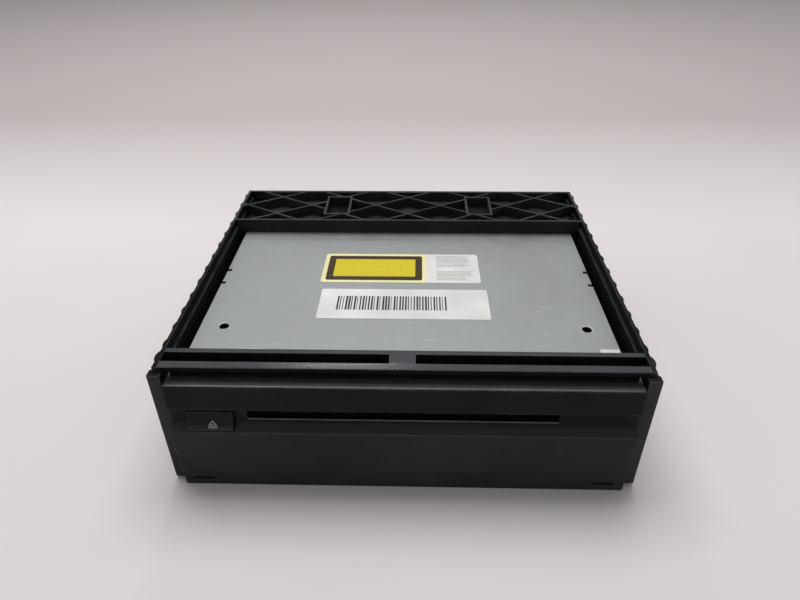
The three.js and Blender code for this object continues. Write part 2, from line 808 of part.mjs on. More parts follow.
function chassisTray() {
  const outer = slab([-trayHalf, trayHalf], [chassisFront, trayBack], [chassisBottom, trayTop]);
  const innerZ = [trayFloorTop, trayTop + overrun];
  const inner = slab([-trayInner, trayInner], [trayFrontInner, trayBackInner], innerZ);
  const discWindow = slab(
    [-slotWidth / 2 - seatGap, slotWidth / 2 + seatGap],
    [chassisFront - overrun, trayFrontInner + overrun],
    [pathFloor - seatGap, pathRoof + seatGap],
  );
  const backCut = [trayBackInner - overrun, trayBack + overrun];
  const socketWindow = slab(
    [-socketWidth / 2 - seatGap, socketWidth / 2 + seatGap],
    backCut,
    [socketZ[0] - seatGap, socketZ[1] + seatGap],
  );
  const vents = Array.from({ length: ventCount }, (_, i) => {
    const x = ventInset + i * ventPitch;
    return slab([x, x + ventWidth], backCut, [ventLift, ventLift + ventHeight]);
  });
  const coverScrewHole = rodY(
    coverScrewX,
    coverTop - coverScrewDrop,
    screwRadius + seatGap,
    backCut,
    smallSides,
  );
  const cageScrewHoles = cageScrewPlaces.map((y) =>
    rodX(y, cageScrewLift, screwRadius + seatGap, [trayInner - overrun, trayHalf + overrun], smallSides),
  );
  const posts = boardPostY.map((y) =>
    rodZ(boardPostX, y, boardPostRadius, [trayFloorTop - traySheet / 2, boardUnder - seatGap], smallSides),
  );
  const screwHoles = bothSides(join(coverScrewHole, ...cageScrewHoles));
  const pan = cut(outer, inner, discWindow, socketWindow, ...vents, screwHoles);
  return join(pan, bothSides(join(...posts)));
}

// A pan-head screw: head outside, shank through its wall, with a cross recess in the head.
function screwAlongY(x, z, seat, reach) {
  const profile = [
    [0, seat - reach],
    [screwRadius, seat - reach],
    [screwRadius, seat],
    [screwHeadRadius, seat],
    [screwHeadRadius * headRimShare, seat + screwHeadHeight * headShoulderShare],
    [screwHeadRadius * headCrownShare, seat + screwHeadHeight],
    [0, seat + screwHeadHeight],
  ];
  const body = turnedY(profile, x, z, smallSides);
  const arm = screwRadius * crossLengthShare;
  const width = screwRadius * crossWidthShare;
  const crossY = [seat + screwHeadHeight * crossFloorShare, seat + screwHeadHeight + overrun];
  const flat = slab([x - arm, x + arm], crossY, [z - width, z + width]);
  const upright = slab([x - width, x + width], crossY, [z - arm, z + arm]);
  return cut(body, flat, upright);
}

function screwAlongX(y, z, seat, reach) {
  return screwAlongY(-y, z, seat, reach).rotate([0, 0, -90]);
}

// Main board with its chips, and the socket at the back

function mainBoard() {
  const plate = slab([-boardHalf, boardHalf], [boardFront, boardBack], [boardUnder, boardTop]);
  const chipZ = [boardTop - boardThickness / 2, boardTop + chipHeight];
  const bigChip = slab(
    [-chipGap - chipWidth, -chipGap],
    [discCentreY, discCentreY + chipWidth],
    chipZ,
  );
  const memoryX = [chipGap / 2, chipGap / 2 + memoryChipWidth];
  const memory = Array.from({ length: 2 }, (_, i) => {
    const y = discCentreY + i * (chipWidth - memoryChipDepth);
    return slab(memoryX, [y, y + memoryChipDepth], chipZ);
  });
  const driverX = [memoryX[1] + chipGap, memoryX[1] + chipGap + driverChipWidth];
  const driver = slab(driverX, [discCentreY, discCentreY + driverChipWidth], chipZ);
  return join(plate, bigChip, ...memory, driver);
}

function rearSocket() {
  const half = socketWidth / 2;
  const shell = slab([-half, half], [socketFront, socketBack], socketZ);
  const cavityZ = [socketZ[0] + socketWall, socketZ[1] - socketWall];
  const cavityFront = socketBack - socketCavity;
  const cavity = slab(
    [-half + socketWall, half - socketWall],
    [cavityFront, socketBack + overrun],
    cavityZ,
  );
  const key = slab(
    [-contactPitch / 2, contactPitch / 2],
    [cavityFront, socketBack + overrun],
    [cavityZ[1] - socketWall / 2, cavityZ[1] + socketWall / 2],
  );
  const contacts = [];
  for (let column = 0; column < contactCount; column += 1) {
    for (const row of contactRowShares) {
      const x = (column - (contactCount - 1) / 2) * contactPitch;
      const z = cavityZ[0] + (cavityZ[1] - cavityZ[0]) * row;
      contacts.push(
        slab(
          [x - contactThickness / 2, x + contactThickness / 2],
          [cavityFront - contactThickness, cavityFront + contactLength],
          [z - contactThickness / 2, z + contactThickness / 2],
        ),
      );
    }
  }
  return join(cut(shell, cavity, key), ...contacts);
}

// Cam slide: a strap inside the left wall of the frame, with a slanted slot for each pin that it lifts

const camStudY = pivotY + camStudSetback;
const camStudZ = pivotZ + camStudRise;
const camOuter = frameInner - seatGap;
const camSpan = [-camOuter, camSheet - camOuter];

// Places of a lifted pin, seen from the slide, at rest and at the end of the slide's travel.
function camSlot(y, z, arm, angle) {
  const end = [y - arm * Math.cos(angle) - camTravel, z + arm * Math.sin(angle)];
  return [[y - arm, z], end];
}

const loaderSlot = camSlot(pivotY, pivotZ, loaderCamArm, loaderLiftAngle);
const clampSlot = camSlot(clampShaftY, clampShaftZ, clampCamArm, clampLiftAngle);
const straightSlot = (y, z) => [[y - camTravel, z], [y, z]];

function camSlide() {
  const lowZ = pivotZ + camRaise;
  const highZ = clampShaftZ + camRaise;
  const centreLine = [
    [loaderSlot[1][0] - camRoom, lowZ],
    [pivotY + camRoom, lowZ],
    [camStudY, camStudZ],
    [clampSlot[1][0] - camRoom, highZ],
    [clampSlot[0][0], highZ],
  ];
  const through = [camSpan[0] - overrun, camSpan[1] + overrun];
  const pinRoom = camPinRadius + seatGap;
  return cut(
    strapX(centreLine, camBand, camSpan),
    strapX(loaderSlot, pinRoom, through),
    strapX(clampSlot, pinRoom, through),
    strapX(straightSlot(pivotY, pivotZ), rollerShaftRadius + seatGap, through),
    strapX(straightSlot(camStudY, camStudZ), camStudRadius + seatGap, through),
  );
}

// Floating mechanism frame

const damperPlaces = [frameFront + damperInset, frameBack - damperInset];
const damperZ = frameFloorTop + damperHeight;
const rodX0 = rodSpread / 2;
const leadScrewX = rodX0 + rodPostWidth / 2 + sledMotorRadius + seatGap;
const traverseHalf = leadScrewX + sledMotorRadius + traverseMargin;
const traversePostX = traverseHalf - traversePostInset;
const traversePostY = [traverseFront + traversePostInset, traverseBack - traversePostInset];

function mechanismFrame() {
  const floor = slab([-frameHalf, frameHalf], [frameFloorFront, frameBack], [frameUnder, frameFloorTop]);
  const wall = slab([frameInner, frameHalf], [frameFront, frameBack], [frameUnder, frameTop]);
  const window = slab(
    [-traverseHalf - frameWindowMargin, traverseHalf + frameWindowMargin],
    [traversePostY[0] + traversePostInset, traversePostY[1] - traversePostInset],
    [frameUnder - overrun, frameFloorTop + overrun],
  );
  const socketNotch = slab(
    [-socketWidth / 2 - seatGap * 2, socketWidth / 2 + seatGap * 2],
    [socketFront - seatGap * 2, frameBack + overrun],
    [frameUnder - overrun, frameFloorTop + overrun],
  );
  const postSpan = [frameFloorTop - frameSheet / 2, traverseUnder - seatGap];
  const posts = traversePostY.map((y) => rodZ(traversePostX, y, traversePostRadius, postSpan, smallSides));
  const wallSpan = [frameInner - overrun, frameHalf + overrun];
  const shaftHole = rodX(clampShaftY, clampShaftZ, clampShaftRadius + seatGap, wallSpan, roundSides);
  const pivotHole = rodX(pivotY, pivotZ, rollerShaftRadius + seatGap, wallSpan, roundSides);
  const neckHole = damperNeck / 2 + seatGap;
  const damperHoles = damperPlaces.map((y) => rodX(y, damperZ, neckHole, wallSpan, smallSides));
  const studSpan = [-frameInner - frameSheet / 2, camSpan[1]];
  const stud = rodX(camStudY, camStudZ, camStudRadius, studSpan, smallSides);
  const body = join(cut(floor, window, socketNotch), bothSides(join(wall, ...posts)), stud);
  return cut(body, bothSides(join(shaftHole, pivotHole, ...damperHoles)));
}

// A rubber damper with a neck that plugs into the frame's wall.
function damper(y) {
  const low = frameInner;
  const seat = frameHalf + seatGap;
  const high = trayInner - seatGap;
  const profile = [
    [0, low],
    [damperNeck / 2, low],
    [damperNeck / 2, seat],
    [damperRadius * damperSeatShare, seat],
    [damperRadius, seat + (high - seat) * damperRingShare],
    [damperRadius * damperWaistShare, (seat + high) / 2],
    [damperRadius, high - (high - seat) * damperRingShare],
    [damperRadius, high],
    [0, high],
  ];
  return turnedX(profile, y, damperZ, smallSides);
}

// Guide above the roller: a moulded plate with ribs on top and an ear at each end.
function discGuide() {
  const half = armInner - guideSideGap;
  const back = frameFront + guideDepth;
  const plate = slab([-half, half], [frameFront, back], [pathRoof, pathRoof + guideThickness]);
  const lead = outline([
    [frameFront - seatGap, pathRoof + guideThickness],
    [frameFront - seatGap * 4, pathRoof + guideThickness * 2],
    [frameFront + guideThickness, pathRoof + guideThickness * 2],
    [frameFront + guideThickness, pathRoof + guideThickness / 2],
    [frameFront, pathRoof + guideThickness / 2],
  ]);
  const leadIn = prismX(lead, [-half, half]);
  const ear = slab(
    [half - overrun, frameInner - seatGap],
    [back - guideEarDepth, back],
    [pathRoof, pathRoof + guideThickness + guideRibHeight],
  );
  const pitch = (half * 2 - guideRibThickness) / (guideRibCount - 1);
  const ribs = Array.from({ length: guideRibCount }, (_, i) => {
    const x = -half + i * pitch;
    return slab(
      [x, x + guideRibThickness],
      [frameFront + guideRibThickness, back],
      [pathRoof + guideThickness / 2, pathRoof + guideThickness + guideRibHeight],
    );
  });
  return join(plate, leadIn, bothSides(ear), ...ribs);
}

// Traverse: what turns the disc and what reads it

const turntableSeat = pathFloor - hubHeight;
const turntableUnder = turntableSeat - turntableThickness;
const motorTop = turntableUnder - seatGap;
const spindleMotorRadius = innerTrackRadius - sledLength / 2 - spindleClearance;
const sledHalf = rodX0 - sledSideGap;
const sledUnder = traverseTop + sledLift;
const sledTop = motorTop;
const rodZ0 = sledUnder + (sledTop - sledUnder) * rodHeightShare;
const leadScrewZ = rodZ0 - leadScrewDrop;
const rodSpan = [frontPostY, backPostY + rodPostDepth];
const sledMotorY = [rodSpan[1] - sledMotorLength, rodSpan[1]];

function traversePlate() {
  const plateX = [-traverseHalf, traverseHalf];
  const plate = slab(plateX, [traverseFront, traverseBack], [traverseUnder, traverseTop]);
  const window = slab(
    [-sledHalf + overrun, sledHalf - overrun],
    [sledY[0], sledY[1] + sledTravel],
    [traverseUnder - overrun, traverseTop + overrun],
  );
  const bush = rodRadius + seatGap;
  const postZ = [traverseUnder, rodZ0 + rodPostWidth / 2];
  const leftPost = slab([-rodX0 - rodPostWidth / 2, -rodX0 + rodPostWidth / 2], [0, rodPostDepth], postZ);
  const rightPost = slab([rodX0 - rodPostWidth / 2, rodX0 + rodPostWidth / 2], [0, rodPostDepth], postZ);
  const screwPost = slab(
    [rodX0, leadScrewX + rodPostWidth / 2],
    [0, rodPostDepth],
    [traverseUnder, leadScrewZ + rodPostWidth / 2],
  );
  const frontPosts = join(leftPost, rightPost, screwPost).translate(0, frontPostY, 0);
  const backPosts = join(leftPost, rightPost).translate(0, backPostY, 0);
  const boreSpan = [frontPostY - overrun, backPostY + rodPostDepth + overrun];
  const bores = [-rodX0, rodX0].map((x) => rodY(x, rodZ0, bush, boreSpan, smallSides));
  const screwBore = rodY(leadScrewX, leadScrewZ, bush, [boreSpan[0], sledY[0] + overrun], smallSides);
  const motorHole = rodZ(
    0,
    discCentreY,
    spindleShaftRadius + overrun,
    [traverseUnder - overrun, traverseTop + overrun],
    smallSides,
  );
  return cut(join(plate, frontPosts, backPosts), window, ...bores, screwBore, motorHole);
}

// Spindle motor: a flat can with a shallow step, bored for the turntable's shaft.
function spindleMotor() {
  const low = traverseTop + seatGap;
  const step = low + (motorTop - low) * spindleStepShare;
  const bore = spindleShaftRadius + seatGap;
  const boreBottom = motorTop - spindleShaftLength - seatGap;
  const profile = [
    [0, low],
    [spindleMotorRadius, low],
    [spindleMotorRadius, step],
    [spindleMotorRadius * spindleCanShare, step],
    [spindleMotorRadius * spindleCanShare, motorTop - seatGap],
    [spindleMotorRadius * spindleCrownShare, motorTop],
    [bore, motorTop],
    [bore, boreBottom],
    [0, boreBottom],
  ];
  return turnedZ(profile, 0, discCentreY);
}

// Turntable: a seat for the disc, a tapered hub in the disc's hole and a shaft in the motor.
function turntable() {
  const hub = discHole / 2 - pathInset;
  const profile = [
    [0, motorTop - spindleShaftLength],
    [spindleShaftRadius, motorTop - spindleShaftLength],
    [spindleShaftRadius, turntableUnder],
    [turntableRadius, turntableUnder],
    [turntableRadius, turntableSeat],
    [hub, turntableSeat],
    [hub, turntableSeat + hubHeight / 3],
    [hub - hubTaper, pathFloor],
    [0, pathFloor],
  ];
  return turnedZ(profile, 0, discCentreY);
}

// Pickup sled: a block between the rods with a bush on one rod and a fork on the other.
function pickupSled() {
  const half = sledHalf;
  const middle = slab([-half, half], sledY, [sledUnder, sledTop]);
  const bush = rodY(rodX0, rodZ0, bushRadius, sledY, smallSides);
  const bushNeck = slab([half - overrun, rodX0], sledY, [rodZ0 - bushRadius / 2, rodZ0 + bushRadius / 2]);
  const fork = slab(
    [-rodX0 - bushRadius, -half + overrun],
    [lensY - bushRadius, lensY + bushRadius],
    [rodZ0 - bushRadius, rodZ0 + bushRadius],
  );
  const nut = slab(
    [half - overrun, leadScrewX - rodRadius - seatGap],
    [lensY - bushRadius, lensY + bushRadius],
    [leadScrewZ - rodRadius, leadScrewZ + rodRadius],
  );
  const boreSpan = [sledY[0] - overrun, sledY[1] + overrun];
  const bore = rodY(rodX0, rodZ0, rodRadius + seatGap, boreSpan, smallSides);
  const forkSlot = slab(
    [-rodX0 - bushRadius - overrun, -rodX0 + rodRadius + seatGap],
    boreSpan,
    [rodZ0 - rodRadius - seatGap, rodZ0 + rodRadius + seatGap],
  );
  const wellSpan = [sledTop - seatGap * 3, sledTop + overrun];
  const lensWell = rodZ(0, lensY, lensRadius + overrun, wellSpan, smallSides);
  return cut(join(middle, bush, bushNeck, fork, nut), bore, forkSlot, lensWell);
}

function objectiveLens() {
  const seat = sledTop - seatGap * 2;
  const top = Math.min(seat + lensRise, pathFloor);
  const profile = [
    [0, seat],
    [lensRadius, seat],
    [lensRadius, top - lensRise / 2],
    [lensRadius * lensShoulderShare, top - (lensRise / 2) * lensTopShare],
    [lensRadius * lensTopShare, top],
    [0, top],
  ];
  return turnedZ(profile, 0, lensY, smallSides);
}

const guideRod = (x) => rodY(x, rodZ0, rodRadius, rodSpan, smallSides);

function leadScrew() {
  return rodY(leadScrewX, leadScrewZ, rodRadius, [rodSpan[0], sledMotorY[0] - seatGap], smallSides);
}

function sledMotor() {
  return rodY(leadScrewX, leadScrewZ, sledMotorRadius, sledMotorY, smallSides);
}

// Disc clamp

const clampHalf = discDiameter / 2;

// The arm narrows from its two ears at the back to a round nose that carries the puck.
function clampArm() {
  const half = clampHalf;
  const rear = clampShaftY - clampShaftRadius - springCoilRadius;
  const plan = new THREE.Shape();
  plan.moveTo(-half, rear);
  plan.lineTo(-half, rear - clampEarDepth);
  plan.lineTo(-clampNoseRadius, discCentreY);
  plan.absarc(0, discCentreY, clampNoseRadius, Math.PI, Math.PI * 2, false);
  plan.lineTo(half, rear - clampEarDepth);
  plan.lineTo(half, rear);
  const sheetZ = [pathRoof, clampArmTop];
  const sheet = prismZ(plan, sheetZ, smallSides);
  const through = [pathRoof - overrun, clampArmTop + overrun];
  const puckHole = rodZ(0, discCentreY, puckNeckRadius + seatGap * 2, through, roundSides);
  const windowHalf = half * clampWindowShare;
  const windowBack = rear - clampEarDepth / 2;
  const windowFront = windowBack - (windowBack - discCentreY) * clampWindowShare;
  const window = prismZ(
    outline([
      [-windowHalf, windowBack],
      [-windowHalf * clampWindowShare, windowFront],
      [windowHalf * clampWindowShare, windowFront],
      [windowHalf, windowBack],
    ]),
    through,
  );
  const earZ = [pathRoof, pathRoof + clampEarHeight];
  const earBack = clampShaftY + clampShaftRadius + springCoilRadius / 2;
  const ear = slab([half - clampArmThickness, half], [rear - clampEarDepth, earBack], earZ);
  const shaftHole = rodX(
    clampShaftY,
    clampShaftZ,
    clampShaftRadius + seatGap,
    [half - clampArmThickness - overrun, half + overrun],
    roundSides,
  );
  const pinSpan = [-camOuter, clampArmThickness / 2 - half];
  const pin = rodX(clampSlot[0][0], clampShaftZ, camPinRadius, pinSpan, smallSides);
  return cut(join(sheet, bothSides(ear), pin), puckHole, window, bothSides(shaftHole));
}

// Clamp puck: a broad foot that presses on the disc, a neck through the arm and a top flange.
function clampPuck() {
  const foot = turntableSeat + seatGap;
  const recess = discHole / 2 + seatGap;
  const topUnder = clampArmTop + seatGap;
  const profile = [
    [recess, foot],
    [puckRadius, foot],
    [puckRadius, foot + puckFlange],
    [puckNeckRadius, foot + puckFlange],
    [puckNeckRadius, topUnder],
    [puckTopRadius, topUnder],
    [puckTopRadius, topUnder + puckTop],
    [0, topUnder + puckTop],
    [0, foot + hubHeight + seatGap],
    [recess, foot + hubHeight + seatGap],
  ];
  return turnedZ(profile, 0, discCentreY);
}

// Torsion spring wound round the clamp shaft.
class SpringPath extends THREE.Curve {
  getPoint(share, target = new THREE.Vector3()) {
    const angle = share * springTurns * Math.PI * 2;
    const x = share * springTurns * springPitch;
    return target.set(x, Math.cos(angle) * springCoilRadius, Math.sin(angle) * springCoilRadius);
  }
}

function clampSpring() {
  const wire = outline(
    Array.from({ length: springWireSides }, (_, i) => {
      const angle = (i * Math.PI * 2) / springWireSides;
      return [Math.cos(angle) * springWireRadius, Math.sin(angle) * springWireRadius];
    }),
  );
  const coil = new THREE.ExtrudeGeometry(wire, {
    steps: springTurns * springStepsPerTurn,
    extrudePath: new SpringPath(),
    bevelEnabled: false,
  });
  const start = -clampHalf + clampArmThickness + springCoilRadius;
  return solidFrom(coil).translate(start, clampShaftY, clampShaftZ);
}

function clampShaft() {
  return rodX(clampShaftY, clampShaftZ, clampShaftRadius, [-frameHalf, frameHalf], roundSides);
}

// Loading unit

const bracketPlateZ = [bracketPlateUnder, pivotZ];

// Place of the idler, in mesh with the roller's gear and with the motor's pinion.
function idlerPlace() {
  const toRoller = pitchRadius(rollerTeeth) + pitchRadius(idlerTeeth) + gearSlack;
  const toPinion = pitchRadius(idlerTeeth) + pitchRadius(pinionTeeth) + gearSlack;
  const stepY = motorY - rollerY;
  const stepZ = motorZ - rollerZ;
  const distance = Math.hypot(stepY, stepZ);
  const along = (toRoller ** 2 - toPinion ** 2 + distance ** 2) / (2 * distance);
  const aside = Math.sqrt(Math.max(toRoller ** 2 - along ** 2, 0));
  return {
    y: rollerY + (stepY * along + stepZ * aside) / distance,
    z: rollerZ + (stepZ * along - stepY * aside) / distance,
  };
}

const idler = idlerPlace();
const axes = [
  [rollerY, rollerZ],
  [idler.y, idler.z],
  [motorY, motorZ],
  [pivotY, pivotZ],
];

// Turn of each gear at rest, so that teeth and gaps meet on the lines between the centres.
const rollerToIdler = Math.atan2(idler.z - rollerZ, idler.y - rollerY);
const idlerToPinion = Math.atan2(motorZ - idler.z, motorY - idler.y);
const toothAngle = (teeth) => (Math.PI * 2) / teeth;
const idlerTurn = rollerToIdler + Math.PI + toothAngle(idlerTeeth) / 2;
const idlerPhase = (idlerToPinion - idlerTurn) / toothAngle(idlerTeeth);
const pinionTurn = idlerToPinion + Math.PI + (idlerPhase + 0.5) * toothAngle(pinionTeeth);

// A spur gear across X with plain flanks and a bore.
function gear(teeth, turn, y, z, bore) {
  const pitch = toothAngle(teeth);
  const root = pitchRadius(teeth) - gearModule * dedendumShare;
  const tip = gearTip(teeth);
  const points = [];
  for (let tooth = 0; tooth < teeth; tooth += 1) {
    const middle = turn + tooth * pitch;
    const corners = [
      [root, -toothRootShare],
      [tip, -toothTipShare],
      [tip, toothTipShare],
      [root, toothRootShare],
    ];
    for (const [radius, share] of corners) {
      const angle = middle + share * pitch;
      points.push([Math.cos(angle) * radius, Math.sin(angle) * radius]);
    }
  }
  const blank = prismX(outline(points), gearSpan).translate(0, y, z);
  return cut(blank, rodX(y, z, bore, [gearSpan[0] - overrun, gearSpan[1] + overrun], smallSides));
}

function rollerGear() {
  return gear(rollerTeeth, rollerToIdler, rollerY, rollerZ, rollerShaftRadius + seatGap);
}

function idlerGear() {
  return gear(idlerTeeth, idlerTurn, idler.y, idler.z, idlerPinRadius + seatGap);
}

function motorPinion() {
  return gear(pinionTeeth, pinionTurn, motorY, motorZ, motorShaftRadius + seatGap);
}

// One side plate of the bracket, rounded about each axis that it carries.
function bracketArm() {
  const span = [armInner, armOuter];
  const web = prismX(outline([...axes].reverse()), span);
  return join(web, strapX([...axes, axes[0]], bracketMargin, span));
}

function rollerBracket() {
  const arms = bothSides(bracketArm());
  const plateY = [pivotY - bracketPlateDepth, pivotY];
  const plate = slab([-armInner - bracketSheet / 2, armInner + bracketSheet / 2], plateY, bracketPlateZ);
  const span = [armInner - overrun, armOuter + overrun];
  const shaftHole = rodX(rollerY, rollerZ, rollerShaftRadius + seatGap, span, roundSides);
  const pivotHole = rodX(pivotY, pivotZ, rollerShaftRadius + seatGap, span, roundSides);
  const idlerHole = rodX(idler.y, idler.z, idlerPinRadius + seatGap, span, smallSides);
  const motorHole = rodX(motorY, motorZ, motorShaftRadius + seatGap * 2, span, smallSides);
  const pinSpan = [-camOuter, -armInner - bracketSheet / 2];
  const pin = rodX(loaderSlot[0][0], pivotZ, camPinRadius, pinSpan, smallSides);
  return cut(join(arms, plate, pin), bothSides(join(shaftHole, pivotHole)), idlerHole, motorHole);
}

// Rubber roller, slimmer in the middle so that it touches a disc only near its edge.
function feedRoller() {
  const half = discDiameter / 2 - rollerEndGap;
  const bore = rollerShaftRadius + seatGap;
  const profile = [
    [bore, -half],
    [rollerRadius, -half],
    [rollerWaist, 0],
    [rollerRadius, half],
    [bore, half],
  ];
  return turnedX(profile, rollerY, rollerZ, smallSides);
}

function rollerShaft() {
  const span = [-armOuter - seatGap * 2, gearSpan[1] + seatGap];
  return rodX(rollerY, rollerZ, rollerShaftRadius, span, smallSides);
}

function loadingMotor() {
  const high = armInner - seatGap;
  const low = high - loadingMotorLength;
  const profile = [
    [0, low],
    [loadingMotorRadius * motorEndShare, low],
    [loadingMotorRadius, low + loadingMotorLength * motorBevelShare],
    [loadingMotorRadius, high],
    [motorShaftRadius, high],
    [motorShaftRadius, gearSpan[1] + seatGap],
    [0, gearSpan[1] + seatGap],
  ];
  return turnedX(profile, motorY, motorZ, roundSides);
}

function idlerPin() {
  return rodX(idler.y, idler.z, idlerPinRadius, [armInner - seatGap, gearSpan[1] + seatGap], smallSides);
}

const pivotPin = (side) => {
  const pin = rodX(pivotY, pivotZ, rollerShaftRadius, [armInner - seatGap, frameHalf], smallSides);
  return side > 0 ? pin : pin.mirror([1, 0, 0]);
};

// The parts in the order in which the drive comes apart

place("mounting_cage", mountingCage(), blackPlastic());
place("front_panel", frontPanel(), facePlastic());
place("eject_button", ejectButton(), facePlastic());
place("eject_switch", ejectSwitch(), darkRubber());
place("front_board", frontBoard(), boardGreen());
place("upper_felt", felt(pathRoof, pathRoof + feltHeight), blackFelt());
place("lower_felt", felt(pathFloor - feltHeight, pathFloor), blackFelt());
place("top_cover", topCover(), galvanised());
place("chassis_tray", chassisTray(), galvanised());

cageScrewPlaces.forEach((y, i) => {
  const seat = wallOuter - screwRecess + seatGap;
  const reach = seat - trayInner + screwReach;
  const screw = screwAlongX(y, cageScrewLift, seat, reach);
  place(`cage_screw_right_${i + 1}`, screw, screwSteel());
  place(`cage_screw_left_${i + 1}`, screw.mirror([1, 0, 0]), screwSteel());
});

for (const [side, name] of [[-1, "left"], [1, "right"]]) {
  const x = side * coverScrewX;
  const reach = coverSheet + traySheet + screwReach;
  const screw = screwAlongY(x, coverTop - coverScrewDrop, chassisBack + seatGap, reach);
  place(`cover_screw_${name}`, screw, screwSteel());
}

place("main_board", mainBoard(), boardGreen());
place("rear_socket", rearSocket(), blackPlastic());
place("mechanism_frame", mechanismFrame(), frameSteel());

damperPlaces.forEach((y, i) => {
  const rubber = damper(y);
  place(`damper_right_${i + 1}`, rubber, darkRubber());
  place(`damper_left_${i + 1}`, rubber.mirror([1, 0, 0]), darkRubber());
});

place("disc_guide", discGuide(), blackPlastic());
place("traverse_plate", traversePlate(), frameSteel());
place("spindle_motor", spindleMotor(), frameSteel());
place("turntable", turntable(), blackPlastic());
place("pickup_sled", pickupSled(), whitePlastic());
place("objective_lens", objectiveLens(), lensGlass());
place("guide_rod_left", guideRod(-rodX0), brightSteel());
place("guide_rod_right", guideRod(rodX0), brightSteel());
place("lead_screw", leadScrew(), brightSteel());
place("sled_motor", sledMotor(), frameSteel());

place("clamp_arm", clampArm(), frameSteel());
place("clamp_puck", clampPuck(), whitePlastic());
place("clamp_shaft", clampShaft(), brightSteel());
place("clamp_spring", clampSpring(), brightSteel());

place("cam_slide", camSlide(), frameSteel());
place("roller_bracket", rollerBracket(), frameSteel());
place("feed_roller", feedRoller(), darkRubber());
place("roller_shaft", rollerShaft(), brightSteel());
place("roller_gear", rollerGear(), whitePlastic());
place("idler_gear", idlerGear(), whitePlastic());
place("idler_pin", idlerPin(), brightSteel());
place("loading_motor", loadingMotor(), frameSteel());
place("motor_pinion", motorPinion(), whitePlastic());
place("pivot_pin_left", pivotPin(-1), brightSteel());
place("pivot_pin_right", pivotPin(1), brightSteel());

drive.position.y = -overallDepth / 2;

export default drive;
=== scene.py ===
"""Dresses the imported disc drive: rounded edges, finishes, labels, prints, threads, pins and fibres.

Lengths are in metres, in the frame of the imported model. Every piece rides on the body that carries
it, and its place is in its mesh.
"""
import logging
import math
from abc import ABC, abstractmethod
from collections import defaultdict
from collections.abc import Callable, Sequence
from dataclasses import dataclass, replace
from enum import Enum, IntEnum
from functools import cache

import bmesh
import bpy
from mathutils import Matrix, Vector
from mathutils.bvhtree import BVHTree
from mathutils.geometry import delaunay_2d_cdt


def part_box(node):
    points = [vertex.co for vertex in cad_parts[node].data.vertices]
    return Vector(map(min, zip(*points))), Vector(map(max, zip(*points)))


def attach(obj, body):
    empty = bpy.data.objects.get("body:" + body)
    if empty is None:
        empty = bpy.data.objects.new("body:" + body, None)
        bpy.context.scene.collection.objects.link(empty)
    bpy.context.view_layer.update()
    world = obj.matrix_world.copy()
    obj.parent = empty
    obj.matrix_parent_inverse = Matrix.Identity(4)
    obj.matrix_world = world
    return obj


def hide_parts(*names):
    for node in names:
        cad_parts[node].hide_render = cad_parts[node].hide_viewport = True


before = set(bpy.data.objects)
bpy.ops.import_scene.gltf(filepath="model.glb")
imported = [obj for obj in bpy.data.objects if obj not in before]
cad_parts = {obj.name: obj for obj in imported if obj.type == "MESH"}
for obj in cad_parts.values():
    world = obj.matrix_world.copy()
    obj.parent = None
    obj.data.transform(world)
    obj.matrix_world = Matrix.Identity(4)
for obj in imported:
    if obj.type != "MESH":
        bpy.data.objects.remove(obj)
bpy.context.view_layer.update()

Colour = tuple[float, float, float]
Span = tuple[float, float]

LOG = logging.getLogger("drive")

# Work on meshes
ROUNDING = "rounding"
REGION = "region"
MERGE_GAP = 2e-6
FLAT_ANGLE = math.radians(0.5)
SHARP_ANGLE = math.radians(32)
LEAST_EDGE = 0.0003
LONG_EDGE = 0.01
SHORT_SAMPLES = 3
LONG_SAMPLES = 9
QUAD_CORNERS = 4
SETTLE_STEPS = 6
FILL_SCALE = 0.001
FILL_GAP = 1e-5
CORNER_STEPS = 6
FIBRE_SIDES = 3
RIDGE_SIDES = 4

# Values of a noise, or of a normal's Z, between which a pattern fades in
CLOUD: Span = (0.3, 0.7)
WORN_PATCH: Span = (0.4, 0.66)
DUST_PATCH: Span = (0.35, 0.75)
DUST_FACING: Span = (0.55, 0.95)
SCRATCH_LINE: Span = (0.71, 0.74)
SCRATCH_PATCH: Span = (0.5, 0.62)

# Values of the shared effects
LEAST_WEAR = 0.12
SCRATCH_TURNS: Span = (0.35, -0.9)
SCRATCH_STRETCH = 16
BRUSH_STRETCH = 0.03


def linear(code: str) -> Colour:
    """Return the scene-linear colour of a six-digit sRGB code."""
    shares = [int(code[i:i + 2], 16) / 255 for i in (0, 2, 4)]
    return tuple(s / 12.92 if s <= 0.04045 else ((s + 0.055) / 1.055) ** 2.4 for s in shares)


class Kind(Enum):
    """Data types of a group's sockets."""

    NUMBER = "NodeSocketFloat"
    COUNT = "NodeSocketInt"
    VECTOR = "NodeSocketVector"
    SHAPE = "NodeSocketGeometry"
    FINISH = "NodeSocketMaterial"


